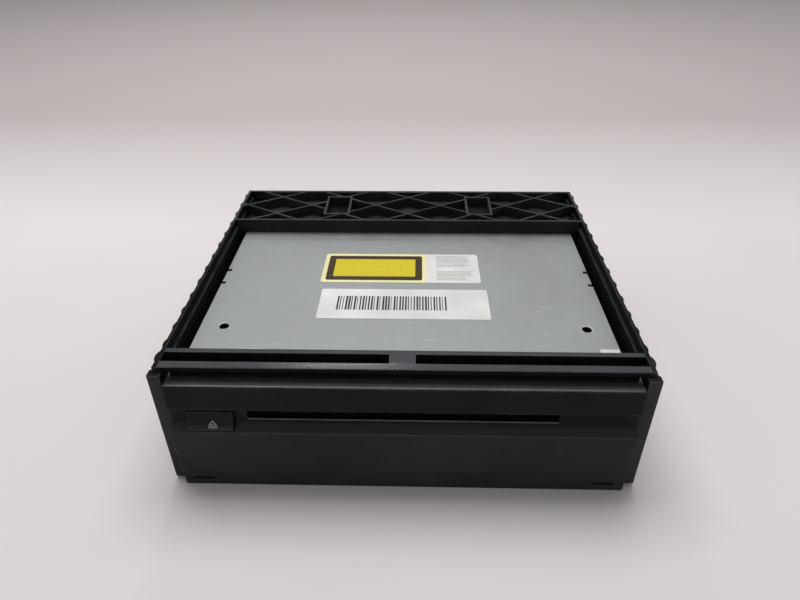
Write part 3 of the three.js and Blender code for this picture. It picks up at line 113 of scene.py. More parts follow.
class Nodes:
    """A node tree with short calls that add nodes and feed their inputs."""

    def __init__(self, tree: bpy.types.NodeTree) -> None:
        """Keep the tree that the calls add to."""
        self.tree = tree

    def feed(self, socket: bpy.types.NodeSocket, value: object) -> None:
        """Link an output to a socket, or set a plain value on it.

        Args:
            socket: The socket that takes the value.
            value: An output socket or a plain value, where a colour goes without its alpha.
        """
        if isinstance(value, bpy.types.NodeSocket):
            self.tree.links.new(value, socket)
        elif isinstance(socket, bpy.types.NodeSocketColor):
            socket.default_value = (*value, 1)
        else:
            socket.default_value = value

    def add(self, kind: str, inputs: dict | None = None, **settings: object) -> bpy.types.Node:
        """Add a node.

        Args:
            kind: The node's type.
            inputs: Values or outputs by the name or the index of the input that takes them.
            settings: Values of the node's own properties.

        Returns:
            The new node.
        """
        node = self.tree.nodes.new(kind)
        for name, value in settings.items():
            setattr(node, name, value)
        for key, value in (inputs or {}).items():
            self.feed(node.inputs[key], value)
        return node

    def maths(self, operation: str, first: object, second: object = 0.0) -> bpy.types.NodeSocket:
        """Return the output of a Math node."""
        return self.add("ShaderNodeMath", {0: first, 1: second}, operation=operation).outputs[0]

    def limits(
        self, value: object, low: float, high: float, start: object = 0.0, end: object = 1.0,
    ) -> bpy.types.NodeSocket:
        """Return a value that runs from start to end while the given one runs from low to high."""
        ends = {"Value": value, "From Min": low, "From Max": high, "To Min": start, "To Max": end}
        return self.add("ShaderNodeMapRange", ends).outputs["Result"]

    def blend(self, share: object, first: object, second: object) -> bpy.types.NodeSocket:
        """Return a colour that runs from the first to the second with the share."""
        return self.add("ShaderNodeMix", {0: share, 6: first, 7: second}, data_type="RGBA").outputs[2]

    def place(self) -> bpy.types.NodeSocket:
        """Return the Object coordinates."""
        return self.add("ShaderNodeTexCoord").outputs["Object"]

    def axis(self, vector: bpy.types.NodeSocket, name: str) -> bpy.types.NodeSocket:
        """Return a vector's share along the axis of that name."""
        return self.add("ShaderNodeSeparateXYZ", {0: vector}).outputs[name]

    def noise(self, scale: object, detail: float = 3.0, vector: object = None) -> bpy.types.NodeSocket:
        """Return the value of a noise texture on Object coordinates or on a given vector."""
        inputs = {"Vector": vector or self.place(), "Scale": scale, "Detail": detail}
        return self.add("ShaderNodeTexNoise", inputs).outputs[0]

    def stretched(self, scale: Sequence[float], turn: float = 0.0) -> bpy.types.NodeSocket:
        """Return Object coordinates turned about Z and scaled by axis."""
        inputs = {"Vector": self.place(), "Rotation": (0, 0, turn), "Scale": tuple(scale)}
        return self.add("ShaderNodeMapping", inputs).outputs[0]


class Group(Nodes):
    """A node group with named inputs and outputs."""

    def __init__(self, name: str, shader: bool, inputs: dict[str, tuple], outputs: Sequence[tuple]) -> None:
        """Make the group and its sockets.

        Args:
            name: The group's name.
            shader: True for a shader group, False for a geometry group.
            inputs: The kind and the default of each input by its name.
            outputs: The name and the kind of each output.
        """
        kind = "ShaderNodeTree" if shader else "GeometryNodeTree"
        super().__init__(bpy.data.node_groups.new(name, kind))
        for key, (socket_kind, default) in inputs.items():
            socket = self.tree.interface.new_socket(key, in_out="INPUT", socket_type=socket_kind.value)
            if default is not None:
                socket.default_value = default
        for key, socket_kind in outputs:
            self.tree.interface.new_socket(key, in_out="OUTPUT", socket_type=socket_kind.value)
        self.given = self.tree.nodes.new("NodeGroupInput").outputs
        self.result = self.tree.nodes.new("NodeGroupOutput").inputs

    def give(self, **values: object) -> bpy.types.NodeTree:
        """Feed the group's outputs.

        Args:
            values: What each output of the group takes, by its name.

        Returns:
            The finished tree.
        """
        for key, value in values.items():
            self.feed(self.result[key], value)
        return self.tree


# Shared effects, each a shader group that puts out masks and values


@cache
def grain_effect() -> bpy.types.NodeTree:
    """Make the fine spark grain of a mould, with a slow change of tone over the surface.

    Returns:
        The group, which puts out a height and a tone.
    """
    sockets = {
        "Scale": (Kind.NUMBER, 900.0), "Fine Share": (Kind.NUMBER, 0.6), "Pit Share": (Kind.NUMBER, 0.4),
        "Cloud Share": (Kind.NUMBER, 0.03),
    }
    group = Group("mould_grain", True, sockets, [("Height", Kind.NUMBER), ("Tone", Kind.NUMBER)])
    given = group.given
    fine = group.maths("MULTIPLY", group.noise(given["Scale"], detail=4), given["Fine Share"])
    cells = group.add("ShaderNodeTexVoronoi", {"Vector": group.place(), "Scale": given["Scale"]})
    pits = group.maths("MULTIPLY", cells.outputs["Distance"], given["Pit Share"])
    slow = group.noise(group.maths("MULTIPLY", given["Scale"], given["Cloud Share"]), detail=5)
    return group.give(Height=group.maths("ADD", fine, pits), Tone=group.limits(slow, *CLOUD))


@cache
def wear_effect() -> bpy.types.NodeTree:
    """Make masks of worn edges from the mark on the rounded faces.

    Returns:
        The group, which puts out a mask of rubbed edges and one of all edges.
    """
    sockets = {"Scale": (Kind.NUMBER, 60.0), "Amount": (Kind.NUMBER, 0.5)}
    group = Group("edge_wear", True, sockets, [("Mask", Kind.NUMBER), ("Edge", Kind.NUMBER)])
    edge = group.add("ShaderNodeAttribute", attribute_name=ROUNDING).outputs["Fac"]
    patch = group.limits(group.noise(group.given["Scale"], detail=5), *WORN_PATCH, LEAST_WEAR, 1)
    mask = group.maths("MULTIPLY", group.maths("MULTIPLY", edge, patch), group.given["Amount"])
    return group.give(Mask=mask, Edge=edge)


@cache
def dust_effect() -> bpy.types.NodeTree:
    """Make the dust that has settled on the faces that look up.

    Returns:
        The group, which puts out a mask.
    """
    sockets = {"Scale": (Kind.NUMBER, 45.0), "Amount": (Kind.NUMBER, 0.3)}
    group = Group("settled_dust", True, sockets, [("Mask", Kind.NUMBER)])
    normal = group.add("ShaderNodeNewGeometry").outputs["Normal"]
    up = group.limits(group.axis(normal, "Z"), *DUST_FACING)
    patch = group.limits(group.noise(group.given["Scale"], detail=8), *DUST_PATCH)
    mask = group.maths("MULTIPLY", group.maths("MULTIPLY", up, patch), group.given["Amount"])
    return group.give(Mask=mask)


@cache
def spangle_effect() -> bpy.types.NodeTree:
    """Make the frozen crystals of a zinc coat.

    Returns:
        The group, which puts out a tone that steps from crystal to crystal.
    """
    sockets = {
        "Scale": (Kind.NUMBER, 260.0), "Crystal Share": (Kind.NUMBER, 0.3),
        "Bend Scale": (Kind.NUMBER, 90.0), "Bend": (Kind.NUMBER, 0.004),
        "Cloud Scale": (Kind.NUMBER, 22.0), "Cloud Share": (Kind.NUMBER, 0.7),
    }
    group = Group("zinc_spangle", True, sockets, [("Tone", Kind.NUMBER)])
    given, place = group.given, group.place()
    bend = group.add("ShaderNodeTexNoise", {"Vector": place, "Scale": given["Bend Scale"]}).outputs["Color"]
    bent = group.add("ShaderNodeMix", {0: given["Bend"], 4: place, 5: bend}, data_type="VECTOR").outputs[1]
    cells = group.add("ShaderNodeTexVoronoi", {"Vector": bent, "Scale": given["Scale"]})
    step = group.add("ShaderNodeSeparateColor", {0: cells.outputs["Color"]}).outputs[0]
    slow = group.limits(group.noise(given["Cloud Scale"], detail=5), *CLOUD)
    crystals = group.maths("MULTIPLY", step, given["Crystal Share"])
    clouds = group.maths("MULTIPLY", slow, given["Cloud Share"])
    return group.give(Tone=group.maths("ADD", crystals, clouds))


@cache
def scratch_effect() -> bpy.types.NodeTree:
    """Make sparse hair-thin scratches in two directions.

    Returns:
        The group, which puts out a mask.
    """
    sockets = {
        "Scale": (Kind.NUMBER, 90.0), "Amount": (Kind.NUMBER, 0.5), "Patch Scale": (Kind.NUMBER, 30.0),
    }
    group = Group("hair_scratches", True, sockets, [("Mask", Kind.NUMBER)])
    given = group.given
    lines = []
    for turn in SCRATCH_TURNS:
        place = group.stretched((1, SCRATCH_STRETCH, 1), turn)
        along = group.noise(given["Scale"], detail=2, vector=place)
        lines.append(group.limits(along, *SCRATCH_LINE))
    both = group.maths("MAXIMUM", *lines)
    sparse = group.limits(group.noise(given["Patch Scale"], detail=2), *SCRATCH_PATCH)
    mask = group.maths("MULTIPLY", group.maths("MULTIPLY", both, sparse), given["Amount"])
    return group.give(Mask=mask)


@cache
def brush_effect() -> bpy.types.NodeTree:
    """Make the fine lines that rolling, turning or drawing leaves on metal.

    Returns:
        The group, which puts out a tone.
    """
    group = Group("brushed_lines", True, {"Scale": (Kind.NUMBER, 900.0)}, [("Tone", Kind.NUMBER)])
    place = group.stretched((BRUSH_STRETCH, 1, 1))
    lines = group.noise(group.given["Scale"], detail=3, vector=place)
    return group.give(Tone=group.limits(lines, *CLOUD))


# Finishes


@dataclass(frozen=True)
class Finish(ABC):
    """A surface finish that makes one procedural material."""

    name: str
    slot: str

    def material(self) -> bpy.types.Material:
        """Make the finish's material at its first use.

        Returns:
            The material.
        """
        title = f"{self.name}_finish"
        found = bpy.data.materials.get(title)
        if found:
            return found
        made = bpy.data.materials.new(title)
        made.use_nodes = True
        nodes = Nodes(made.node_tree)
        shader = made.node_tree.nodes["Principled BSDF"]
        for key, value in self.shade(nodes).items():
            nodes.feed(shader.inputs[key], value)
        return made

    def effect(self, nodes: Nodes, tree: bpy.types.NodeTree, **inputs: float) -> bpy.types.NodeOutputs:
        """Place a shared effect with this finish's values and return its outputs."""
        return nodes.add("ShaderNodeGroup", inputs, node_tree=tree).outputs

    def bump(self, nodes: Nodes, height: object, depth: float) -> bpy.types.NodeSocket:
        """Return the normal of a relief of that depth in metres."""
        inputs = {"Height": height, "Distance": depth, "Strength": 1.0}
        return nodes.add("ShaderNodeBump", inputs).outputs[0]

    @abstractmethod
    def shade(self, nodes: Nodes) -> dict[str, object]:
        """Return the shader's inputs by name."""


@dataclass(frozen=True)
class Moulding(Finish):
    """Grained plastic or rubber with rubbed edges and a little dust."""

    deep: str
    pale: str
    roughness: Span = (0.5, 0.66)
    gloss: float = 0.25
    grain: float = 1400.0
    relief: float = 0.00004
    worn: str = "5a5c5e"
    wear: float = 0.4
    wear_scale: float = 140.0
    polish: float = 0.22
    dust: float = 0.06
    dust_scale: float = 60.0
    dust_colour: str = "8c8880"
    # Painted light: a lighter tone that fades in towards the foot of a face
    painted_light_foot: str = ""
    painted_light_rise: Span = (0.0, 0.0)

    def shade(self, nodes: Nodes) -> dict[str, object]:
        """Give the moulding its grain, its rubbed edges, its dust and, where set, painted light towards its
        foot.

        Args:
            nodes: The material's nodes.

        Returns:
            The shader's inputs by name.
        """
        grain = self.effect(nodes, grain_effect(), Scale=self.grain)
        edge = self.effect(nodes, wear_effect(), Scale=self.wear_scale, Amount=self.wear)
        wear, polish = edge["Mask"], nodes.maths("MULTIPLY", edge["Edge"], self.polish)
        dust = self.effect(nodes, dust_effect(), Scale=self.dust_scale, Amount=self.dust)["Mask"]
        body = nodes.blend(grain["Tone"], linear(self.deep), linear(self.pale))
        # Painted light: below a height the face turns to the lighter foot tone
        if self.painted_light_foot:
            height = nodes.axis(nodes.place(), "Z")
            body = nodes.blend(nodes.limits(height, *self.painted_light_rise), linear(self.painted_light_foot), body)
        rubbed = nodes.blend(wear, body, linear(self.worn))
        rough = nodes.limits(grain["Tone"], 0, 1, self.roughness[1], self.roughness[0])
        return {
            "Base Color": nodes.blend(dust, rubbed, linear(self.dust_colour)),
            "Roughness": nodes.maths("SUBTRACT", rough, polish),
            "Specular IOR Level": self.gloss,
            "Normal": self.bump(nodes, grain["Height"], self.relief),
        }


@dataclass(frozen=True)
class ZincSheet(Finish):
    """Galvanised sheet with soft spangle and a few scratches."""

    deep: str
    pale: str
    roughness: Span = (0.42, 0.56)
    metallic: float = 0.6
    bright: str = "d6d8da"
    spangle: float = 240.0
    scratch_scale: float = 85.0
    scratches: float = 0.35
    wear_scale: float = 90.0
    wear: float = 0.5
    grain: float = 700.0
    relief: float = 0.00001

    def shade(self, nodes: Nodes) -> dict[str, object]:
        """Give the sheet its spangle, its scratches and its bare edges.

        Args:
            nodes: The material's nodes.

        Returns:
            The shader's inputs by name.
        """
        tone = self.effect(nodes, spangle_effect(), Scale=self.spangle)["Tone"]
        lines = self.effect(nodes, scratch_effect(), Scale=self.scratch_scale, Amount=self.scratches)["Mask"]
        edge = self.effect(nodes, wear_effect(), Scale=self.wear_scale, Amount=self.wear)["Mask"]
        grain = self.effect(nodes, grain_effect(), Scale=self.grain)["Height"]
        sheet = nodes.blend(tone, linear(self.deep), linear(self.pale))
        return {
            "Base Color": nodes.blend(nodes.maths("MAXIMUM", lines, edge), sheet, linear(self.bright)),
            "Metallic": self.metallic,
            "Roughness": nodes.limits(tone, 0, 1, *self.roughness),
            "Normal": self.bump(nodes, grain, self.relief),
        }


@dataclass(frozen=True)
class Metal(Finish):
    """Rolled, turned or plated metal with fine lines."""

    deep: str
    pale: str
    roughness: Span = (0.25, 0.42)
    metallic: float = 0.9
    lines: float = 900.0
    relief: float = 0.000005
    worn: str = "e4e4e2"
    wear_scale: float = 90.0
    wear: float = 0.5

    def shade(self, nodes: Nodes) -> dict[str, object]:
        """Give the metal its fine lines and its bright edges.

        Args:
            nodes: The material's nodes.

        Returns:
            The shader's inputs by name.
        """
        tone = self.effect(nodes, brush_effect(), Scale=self.lines)["Tone"]
        edge = self.effect(nodes, wear_effect(), Scale=self.wear_scale, Amount=self.wear)["Mask"]
        body = nodes.blend(tone, linear(self.deep), linear(self.pale))
        return {
            "Base Color": nodes.blend(edge, body, linear(self.worn)),
            "Metallic": self.metallic,
            "Roughness": nodes.limits(tone, 0, 1, *self.roughness),
            "Normal": self.bump(nodes, tone, self.relief),
        }


@dataclass(frozen=True)
class Fibre(Finish):
    """Matt felt with a soft sheen."""

    deep: str
    pale: str
    tangle: float = 2600.0
    tangle_fade: Span = (0.35, 0.65)
    roughness: Span = (1.0, 0.85)
    gloss: float = 0.1
    sheen: float = 0.03
    relief: float = 0.00015

    def shade(self, nodes: Nodes) -> dict[str, object]:
        """Give the felt its tangle.

        Args:
            nodes: The material's nodes.

        Returns:
            The shader's inputs by name.
        """
        tangle = nodes.limits(nodes.noise(self.tangle, detail=6), *self.tangle_fade)
        return {
            "Base Color": nodes.blend(tangle, linear(self.deep), linear(self.pale)),
            "Roughness": nodes.limits(tangle, 0, 1, *self.roughness),
            "Specular IOR Level": self.gloss,
            "Sheen Weight": self.sheen,
            "Normal": self.bump(nodes, tangle, self.relief),
        }


@dataclass(frozen=True)
class Laminate(Finish):
    """Printed circuit board: solder mask over copper tracks."""

    deep: str = "12301d"
    pale: str = "2c6b3c"
    lane_scale: float = 420.0
    lane_stretch: float = 0.12
    lane_fade: Span = (0.55, 0.57)
    field_scale: float = 60.0
    field_fade: Span = (0.49, 0.51)
    roughness: Span = (0.42, 0.3)
    coat: Span = (0.4, 0.6)
    relief: float = 0.00003

    def shade(self, nodes: Nodes) -> dict[str, object]:
        """Give the board its tracks, which run across in some fields and along in the others.

        Args:
            nodes: The material's nodes.

        Returns:
            The shader's inputs by name.
        """
        lanes = []
        for scale in ((self.lane_stretch, 1, 1), (1, self.lane_stretch, 1)):
            lane = nodes.noise(self.lane_scale, detail=0, vector=nodes.stretched(scale))
            lanes.append(nodes.limits(lane, *self.lane_fade))
        choice = nodes.limits(nodes.noise(self.field_scale, detail=0), *self.field_fade)
        across = nodes.maths("MULTIPLY", choice, lanes[0])
        along = nodes.maths("MULTIPLY", nodes.limits(choice, 0, 1, 1, 0), lanes[1])
        track = nodes.maths("MAXIMUM", across, along)
        return {
            "Base Color": nodes.blend(track, linear(self.deep), linear(self.pale)),
            "Roughness": nodes.limits(track, 0, 1, *self.roughness),
            "Coat Weight": nodes.limits(track, 0, 1, *self.coat),
            "Normal": self.bump(nodes, track, self.relief),
        }


@dataclass(frozen=True)
class CoatedLens(Finish):
    """Moulded lens with a faint violet coating."""

    deep: str = "9fb6e6"
    pale: str = "c6c2ee"
    tint: float = 300.0
    roughness: Span = (0.03, 0.08)
    clearness: float = 0.85
    refraction: float = 1.5

    def shade(self, nodes: Nodes) -> dict[str, object]:
        """Give the lens its tint.

        Args:
            nodes: The material's nodes.

        Returns:
            The shader's inputs by name.
        """
        tint = nodes.limits(nodes.noise(self.tint, detail=2), *CLOUD)
        return {
            "Base Color": nodes.blend(tint, linear(self.deep), linear(self.pale)),
            "Roughness": nodes.limits(tint, 0, 1, *self.roughness),
            "Transmission Weight": self.clearness,
            "IOR": self.refraction,
        }


@dataclass(frozen=True)
class Paper(Finish):
    """Coated label paper, a little yellowed and rubbed."""

    deep: str
    pale: str
    roughness: Span = (0.5, 0.38)
    gloss: float = 0.3
    cloud: float = 55.0
    mark: str = "b9b4a6"
    scratch_scale: float = 120.0
    scratches: float = 0.25
    grain: float = 1800.0
    relief: float = 0.000008

    def shade(self, nodes: Nodes) -> dict[str, object]:
        """Give the paper its clouds, its scratches and its grain.

        Args:
            nodes: The material's nodes.

        Returns:
            The shader's inputs by name.
        """
        cloud = nodes.limits(nodes.noise(self.cloud, detail=6), *CLOUD)
        lines = self.effect(nodes, scratch_effect(), Scale=self.scratch_scale, Amount=self.scratches)["Mask"]
        grain = self.effect(nodes, grain_effect(), Scale=self.grain)["Height"]
        sheet = nodes.blend(cloud, linear(self.deep), linear(self.pale))
        return {
            "Base Color": nodes.blend(lines, sheet, linear(self.mark)),
            "Roughness": nodes.limits(cloud, 0, 1, *self.roughness),
            "Specular IOR Level": self.gloss,
            "Normal": self.bump(nodes, grain, self.relief),
        }


@dataclass(frozen=True)
class Ink(Finish):
    """Screen-printed ink with thin spots."""

    deep: str
    pale: str
    spots: float = 1500.0
    spot_fade: Span = (0.32, 0.6)
    roughness: Span = (0.6, 0.42)
    gloss: float = 0.15

    def shade(self, nodes: Nodes) -> dict[str, object]:
        """Give the ink its thin spots.

        Args:
            nodes: The material's nodes.

        Returns:
            The shader's inputs by name.
        """
        spots = nodes.limits(nodes.noise(self.spots, detail=4), *self.spot_fade)
        return {
            "Base Color": nodes.blend(spots, linear(self.deep), linear(self.pale)),
            "Roughness": nodes.limits(spots, 0, 1, *self.roughness),
            "Specular IOR Level": self.gloss,
        }


# Darkest copy of the cage's black: painted shade on its inner faces, side channels and box floors
CAGE_SHADED_PLASTIC = Moulding(
    "cage_shaded_plastic", "black_plastic", "0b0e0c", "111512", roughness=(0.6, 0.75), gloss=0.06,
)
# Lighter copy of the cage's black for the deck and the outer faces: painted light
DECK_LIT_PLASTIC = Moulding(
    "deck_lit_plastic", "black_plastic", "1b201c", "272d28", roughness=(0.55, 0.7), gloss=0.14,
)
# Lighter copy of the cage's black for the cheeks' front faces: painted light from the front
CHEEK_LIT_PLASTIC = Moulding(
    "cheek_lit_plastic", "black_plastic", "222420", "31332f", roughness=(0.5, 0.62), gloss=0.2,
)
# Lighter bluish copy for the beam's top faces: real gloss with a painted reflection of the sky
BEAM_REFLECTING_PLASTIC = Moulding(
    "beam_painted_reflection", "black_plastic", "151a1f", "1e242c", roughness=(0.5, 0.6), gloss=0.3,
)
# Lighter bluish, smoother copy for the front ledge's top: real gloss with a painted reflection
LEDGE_REFLECTING_PLASTIC = Moulding(
    "ledge_painted_reflection", "black_plastic", "12171c", "1b2129", roughness=(0.22, 0.3), gloss=0.42,
)
FACE_PLASTIC = Moulding(
    "face_plastic", "face_plastic", "141a16", "1a211c", roughness=(0.5, 0.62), gloss=0.1, wear=0.3,
    dust=0.03,
)
# The cove's lower flank fades to a lighter tone: painted light on the faces that look up
COVE_LIT_PLASTIC = replace(FACE_PLASTIC, name="cove_painted_light", painted_light_foot="464d47", painted_light_rise=(0.0300, 0.0352))
# Lighter copy of the face below the fold: painted light thrown up from the floor
APRON_LIT_PLASTIC = replace(FACE_PLASTIC, name="apron_painted_light", deep="222823", pale="29302a", gloss=0.12)
# The key's lower half fades to a lighter tone: painted light on its foot
KEY_PLASTIC = Moulding(
    "key_plastic", "face_plastic", "121713", "181e19", roughness=(0.46, 0.58), gloss=0.12, dust=0.03,
    painted_light_foot="444b46", painted_light_rise=(0.0310, 0.0354),
)
# Light grey strip along the slot's lower lip of the black panel: a painted glint
LIP_GLINT_PLASTIC = Moulding(
    "lip_painted_glint", "face_plastic", "9ea299", "b6bab1", roughness=(0.22, 0.3), gloss=0.9, wear=0.7,
)
# Lighter copy of the face for the panel's top: painted light from above
BROW_LIT_PLASTIC = Moulding(
    "brow_painted_light", "face_plastic", "333835", "3e4440", roughness=(0.42, 0.52), gloss=0.4, polish=0.3,
)
# Near-black copy of the face for the faces inside the slot: painted shade
SLOT_SHADE_PLASTIC = Moulding(
    "slot_painted_shade", "face_plastic", "050505", "080808", roughness=(0.8, 0.9), gloss=0.02, wear=0.1,
    dust=0.0,
)
DARK_PLASTIC = Moulding(
    "dark_plastic", "black_plastic", "121314", "1c1e20", roughness=(0.4, 0.55), gloss=0.4,
)
ACETAL = Moulding(
    "acetal", "white_plastic", "cfccc2", "e2dfd6", roughness=(0.34, 0.46), gloss=0.5, grain=900.0,
    relief=0.00001, worn="f2f0ea",
)
RUBBER = Moulding(
    "soft_rubber", "dark_rubber", "141415", "202022", roughness=(0.75, 0.92), gloss=0.2, grain=700.0,
    relief=0.00006, worn="3a3a3c", wear=0.3, dust=0.1,
)
COVER_ZINC = ZincSheet("cover_zinc", "galvanised_sheet", "838685", "8e9191", roughness=(0.5, 0.62))
TRAY_ZINC = ZincSheet("tray_zinc", "galvanised_sheet", "868a8d", "a2a5a8", roughness=(0.4, 0.52))
FRAME_STEEL = Metal(
    "frame_steel", "frame_steel", "7c8084", "9a9da0", roughness=(0.34, 0.48), metallic=0.85, lines=500.0,
)
BRIGHT_STEEL = Metal(
    "bright_steel", "bright_steel", "a9acb0", "cfd1d3", roughness=(0.16, 0.3), metallic=0.95,
)
SCREW_ZINC = Metal("screw_zinc", "screw_steel", "7d7a70", "a5a196", roughness=(0.28, 0.42), lines=1500.0)
BRASS = Metal("tinned_brass", "bright_steel", "a88f4e", "d8c389", roughness=(0.2, 0.34), metallic=0.95)
SOLDER_MASK = Laminate("solder_mask", "board_green")
CHIP_EPOXY = Moulding(
    "chip_epoxy", "board_green", "17181a", "222427", roughness=(0.5, 0.62), gloss=0.35, grain=2200.0,
    relief=0.00002,
)
# Black felt, darkened beyond its own tone as painted shade inside the slot
SHADED_FELT = Fibre("black_felt", "black_felt", "030303", "070708")
# Black strips standing for the shade under the cage's beam: painted shade
SHADE_STRIP_FOAM = Fibre("seal_foam", "black_felt", "070807", "0c0e0c")
CERAMIC = Moulding(
    "ceramic", "white_plastic", "8a7a5c", "b4a582", roughness=(0.4, 0.55), gloss=0.3, grain=1800.0,
    relief=0.00001, worn="c9c2ae", wear=0.3,
)
LENS = CoatedLens("coated_lens", "lens_glass")
WHITE_PAPER = Paper("white_paper", "paper_label", "d2d1ce", "e6e5e2")
CREAM_PAPER = Paper("cream_paper", "paper_label", "e6dd9a", "f1ebb4")
YELLOW_INK = Ink("yellow_ink", "paper_label", "cfbd1a", "d5c624")
BROWN_INK = Ink("brown_ink", "paper_label", "2b2006", "382b0e")
BLACK_INK = Ink("black_ink", "paper_label", "26272a", "3c3d40")
GREY_INK = Ink("grey_ink", "paper_label", "8d8e90", "a5a6a8")
KEY_PRINT = Ink("key_print", "face_plastic", "7b7e7d", "9c9f9e")


# Meshes


@cache
def node_box(node: str) -> tuple[Vector, Vector]:
    """Return the low and the high corner of a CAD node."""
    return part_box(node)


def merged_copy(node: str) -> bmesh.types.BMesh:
    """Copy a CAD node's shape, with its corners merged and its flat faces whole.

    Args:
        node: The CAD node.

    Returns:
        The copy.
    """
    shape = bmesh.new()
    shape.from_mesh(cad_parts[node].data)
    bmesh.ops.remove_doubles(shape, verts=shape.verts, dist=MERGE_GAP)
    bmesh.ops.dissolve_limit(shape, angle_limit=FLAT_ANGLE, verts=shape.verts, edges=shape.edges)
    return shape


class EdgeRounder:
    """Rounds the outward edges of a shape whose flat sides can have holes and many corners."""

    def __init__(self, shape: bmesh.types.BMesh) -> None:
        """Number the flat regions of a shape, and keep their planes and their rims.

        Args:
            shape: The shape, merged.
        """
        self.shape = shape
        self.region = shape.faces.layers.int.new(REGION)
        self.rounding = shape.faces.layers.float.new(ROUNDING)
        self.planes: list[tuple[Vector, float]] = []
        for seed in shape.faces:
            if not seed[self.region]:
                self.planes.append((seed.normal.copy(), seed.normal.dot(seed.verts[0].co)))
                self.flood(seed)
        self.rims: dict[int, list[tuple[Vector, Vector]]] = defaultdict(list)
        for edge in shape.edges:
            numbers = {face[self.region] for face in edge.link_faces}
            for number in numbers if len(numbers) > 1 else ():
                self.rims[number].append(tuple(vert.co.copy() for vert in edge.verts))

    def flood(self, seed: bmesh.types.BMFace) -> None:
        """Give every face that lies flat with a seed, and joins it, the latest number.

        Args:
            seed: The face to start from.
        """
        seed[self.region] = len(self.planes)
        waiting = [seed]
        while waiting:
            for edge in waiting.pop().edges:
                for face in edge.link_faces:
                    if not face[self.region] and face.normal.angle(seed.normal, 0) < FLAT_ANGLE:
                        face[self.region] = len(self.planes)
                        waiting.append(face)

    def is_roomy(self, edge: bmesh.types.BMEdge, width: float) -> bool:
        """Tell whether both flat sides of an edge are wider than a width along most of it.

        Args:
            edge: The edge.
            width: The width.

        Returns:
            True if they are.
        """
        count = SHORT_SAMPLES if edge.calc_length() < LONG_EDGE else LONG_SAMPLES
        for loop in edge.link_loops:
            start = loop.vert.co
            along = loop.link_loop_next.vert.co - start
            inward = loop.face.normal.cross(along).normalized()
            places = [start + along * (step + 0.5) / count for step in range(count)]
            narrow = [self.reach(loop.face[self.region], place, along, inward) < width for place in places]
            if sum(narrow) > count / 2:
                return False
        return True

    def reach(self, number: int, place: Vector, along: Vector, inward: Vector) -> float:
        """Return how far a flat region reaches from a place on its rim.

        Args:
            number: The region's number.
            place: The place on the rim.
            along: The rim's direction there.
            inward: The direction into the region.

        Returns:
            The distance to the rim across from the place.
        """
        nearest = math.inf
        for first, second in self.rims[number]:
            before, after = (first - place).dot(along), (second - place).dot(along)
            if (before > 0) != (after > 0):
                crossing = first + (second - first) * (before / (before - after))
                depth = (crossing - place).dot(inward)
                if depth > MERGE_GAP:
                    nearest = min(nearest, depth)
        return nearest

    def round(self, radius: float, least: float, angle: float, steps: int) -> None:
        """Round the outward edges and mark the new faces for the wear effect.

        Args:
            radius: How far the rounding reaches from an edge.
            least: The shortest edge that is rounded.
            angle: The smallest turn between two faces that counts as an edge.
            steps: Facets across a rounding.
        """
        edges = [
            edge for edge in self.shape.edges
            if edge.is_manifold and edge.calc_length() > least and edge.calc_face_angle_signed() > angle
            and self.is_roomy(edge, radius * 2)
        ]
        made = bmesh.ops.bevel(
            self.shape, geom=edges, offset=radius, offset_type="OFFSET", segments=steps, profile=0.5,
            affect="EDGES", clamp_overlap=False, loop_slide=False,
        )
        for face in made["faces"]:
            face[self.rounding] = 1.0
        self.settle()
        self.refill()

    def settle(self) -> None:
        """Put every corner of the flat regions back on their planes."""
        for vert in self.shape.verts:
            numbers = {face[self.region] for face in vert.link_faces if not face[self.rounding]}
            for number in list(numbers) * SETTLE_STEPS:
                normal, level = self.planes[number - 1]
                vert.co -= normal * (normal.dot(vert.co) - level)

    def refill(self) -> None:
        """Fill every flat region that has many corners anew, so that no face folds over itself."""
        flats = defaultdict(list)
        for face in self.shape.faces:
            if not face[self.rounding]:
                flats[face[self.region]].append(face)
        for number, faces in flats.items():
            if len(faces) > 1 or len(faces[0].verts) > QUAD_CORNERS:
                self.fill_flat(faces, *self.planes[number - 1])

    def fill_flat(self, faces: Sequence[bmesh.types.BMFace], normal: Vector, level: float) -> None:
        """Fill one flat region with triangles that keep its rim.

        Args:
            faces: The faces that fill the region now.
            normal: The normal of its plane.
            level: The distance of its plane from the origin.
        """
        inside = set(faces)
        edges = {edge for face in faces for edge in face.edges}
        rim = [edge for edge in edges if len(inside.intersection(edge.link_faces)) == 1]
        verts = list({vert for edge in rim for vert in edge.verts})
        turn = normal.rotation_difference(Vector((0, 0, 1))).to_matrix()
        flat = [(turn @ vert.co).to_2d() / FILL_SCALE for vert in verts]
        number = {vert: i for i, vert in enumerate(verts)}
        lines = [(number[edge.verts[0]], number[edge.verts[1]]) for edge in rim]
        bmesh.ops.delete(self.shape, geom=faces, context="FACES_KEEP_BOUNDARY")
        points, _, cells, sources, _, _ = delaunay_2d_cdt(flat, lines, [], 1, FILL_GAP)
        back = turn.transposed()
        corners = [
            verts[source[0]] if source
            else self.shape.verts.new(back @ Vector((*(point * FILL_SCALE), level)))
            for point, source in zip(points, sources)
        ]
        ends = [(flat[i], flat[j]) for i, j in lines]
        for cell in cells:
            middle = sum((points[i] for i in cell), Vector((0, 0))) / len(cell)
            triangle = [corners[i] for i in cell]
            if encloses(ends, middle) and len(set(triangle)) > 2 and not self.shape.faces.get(triangle):
                self.shape.faces.new(triangle)


def encloses(lines: Sequence[tuple[Vector, Vector]], point: Vector) -> bool:
    """Tell whether a point lies inside an outline.

    Args:
        lines: The lines that make the outline, each by its two ends.
        point: The point.

    Returns:
        True if it does.
    """
    inside = False
    for first, second in lines:
        if (first.y > point.y) != (second.y > point.y):
            x = first.x + (second.x - first.x) * (point.y - first.y) / (second.y - first.y)
            inside ^= x > point.x
    return inside


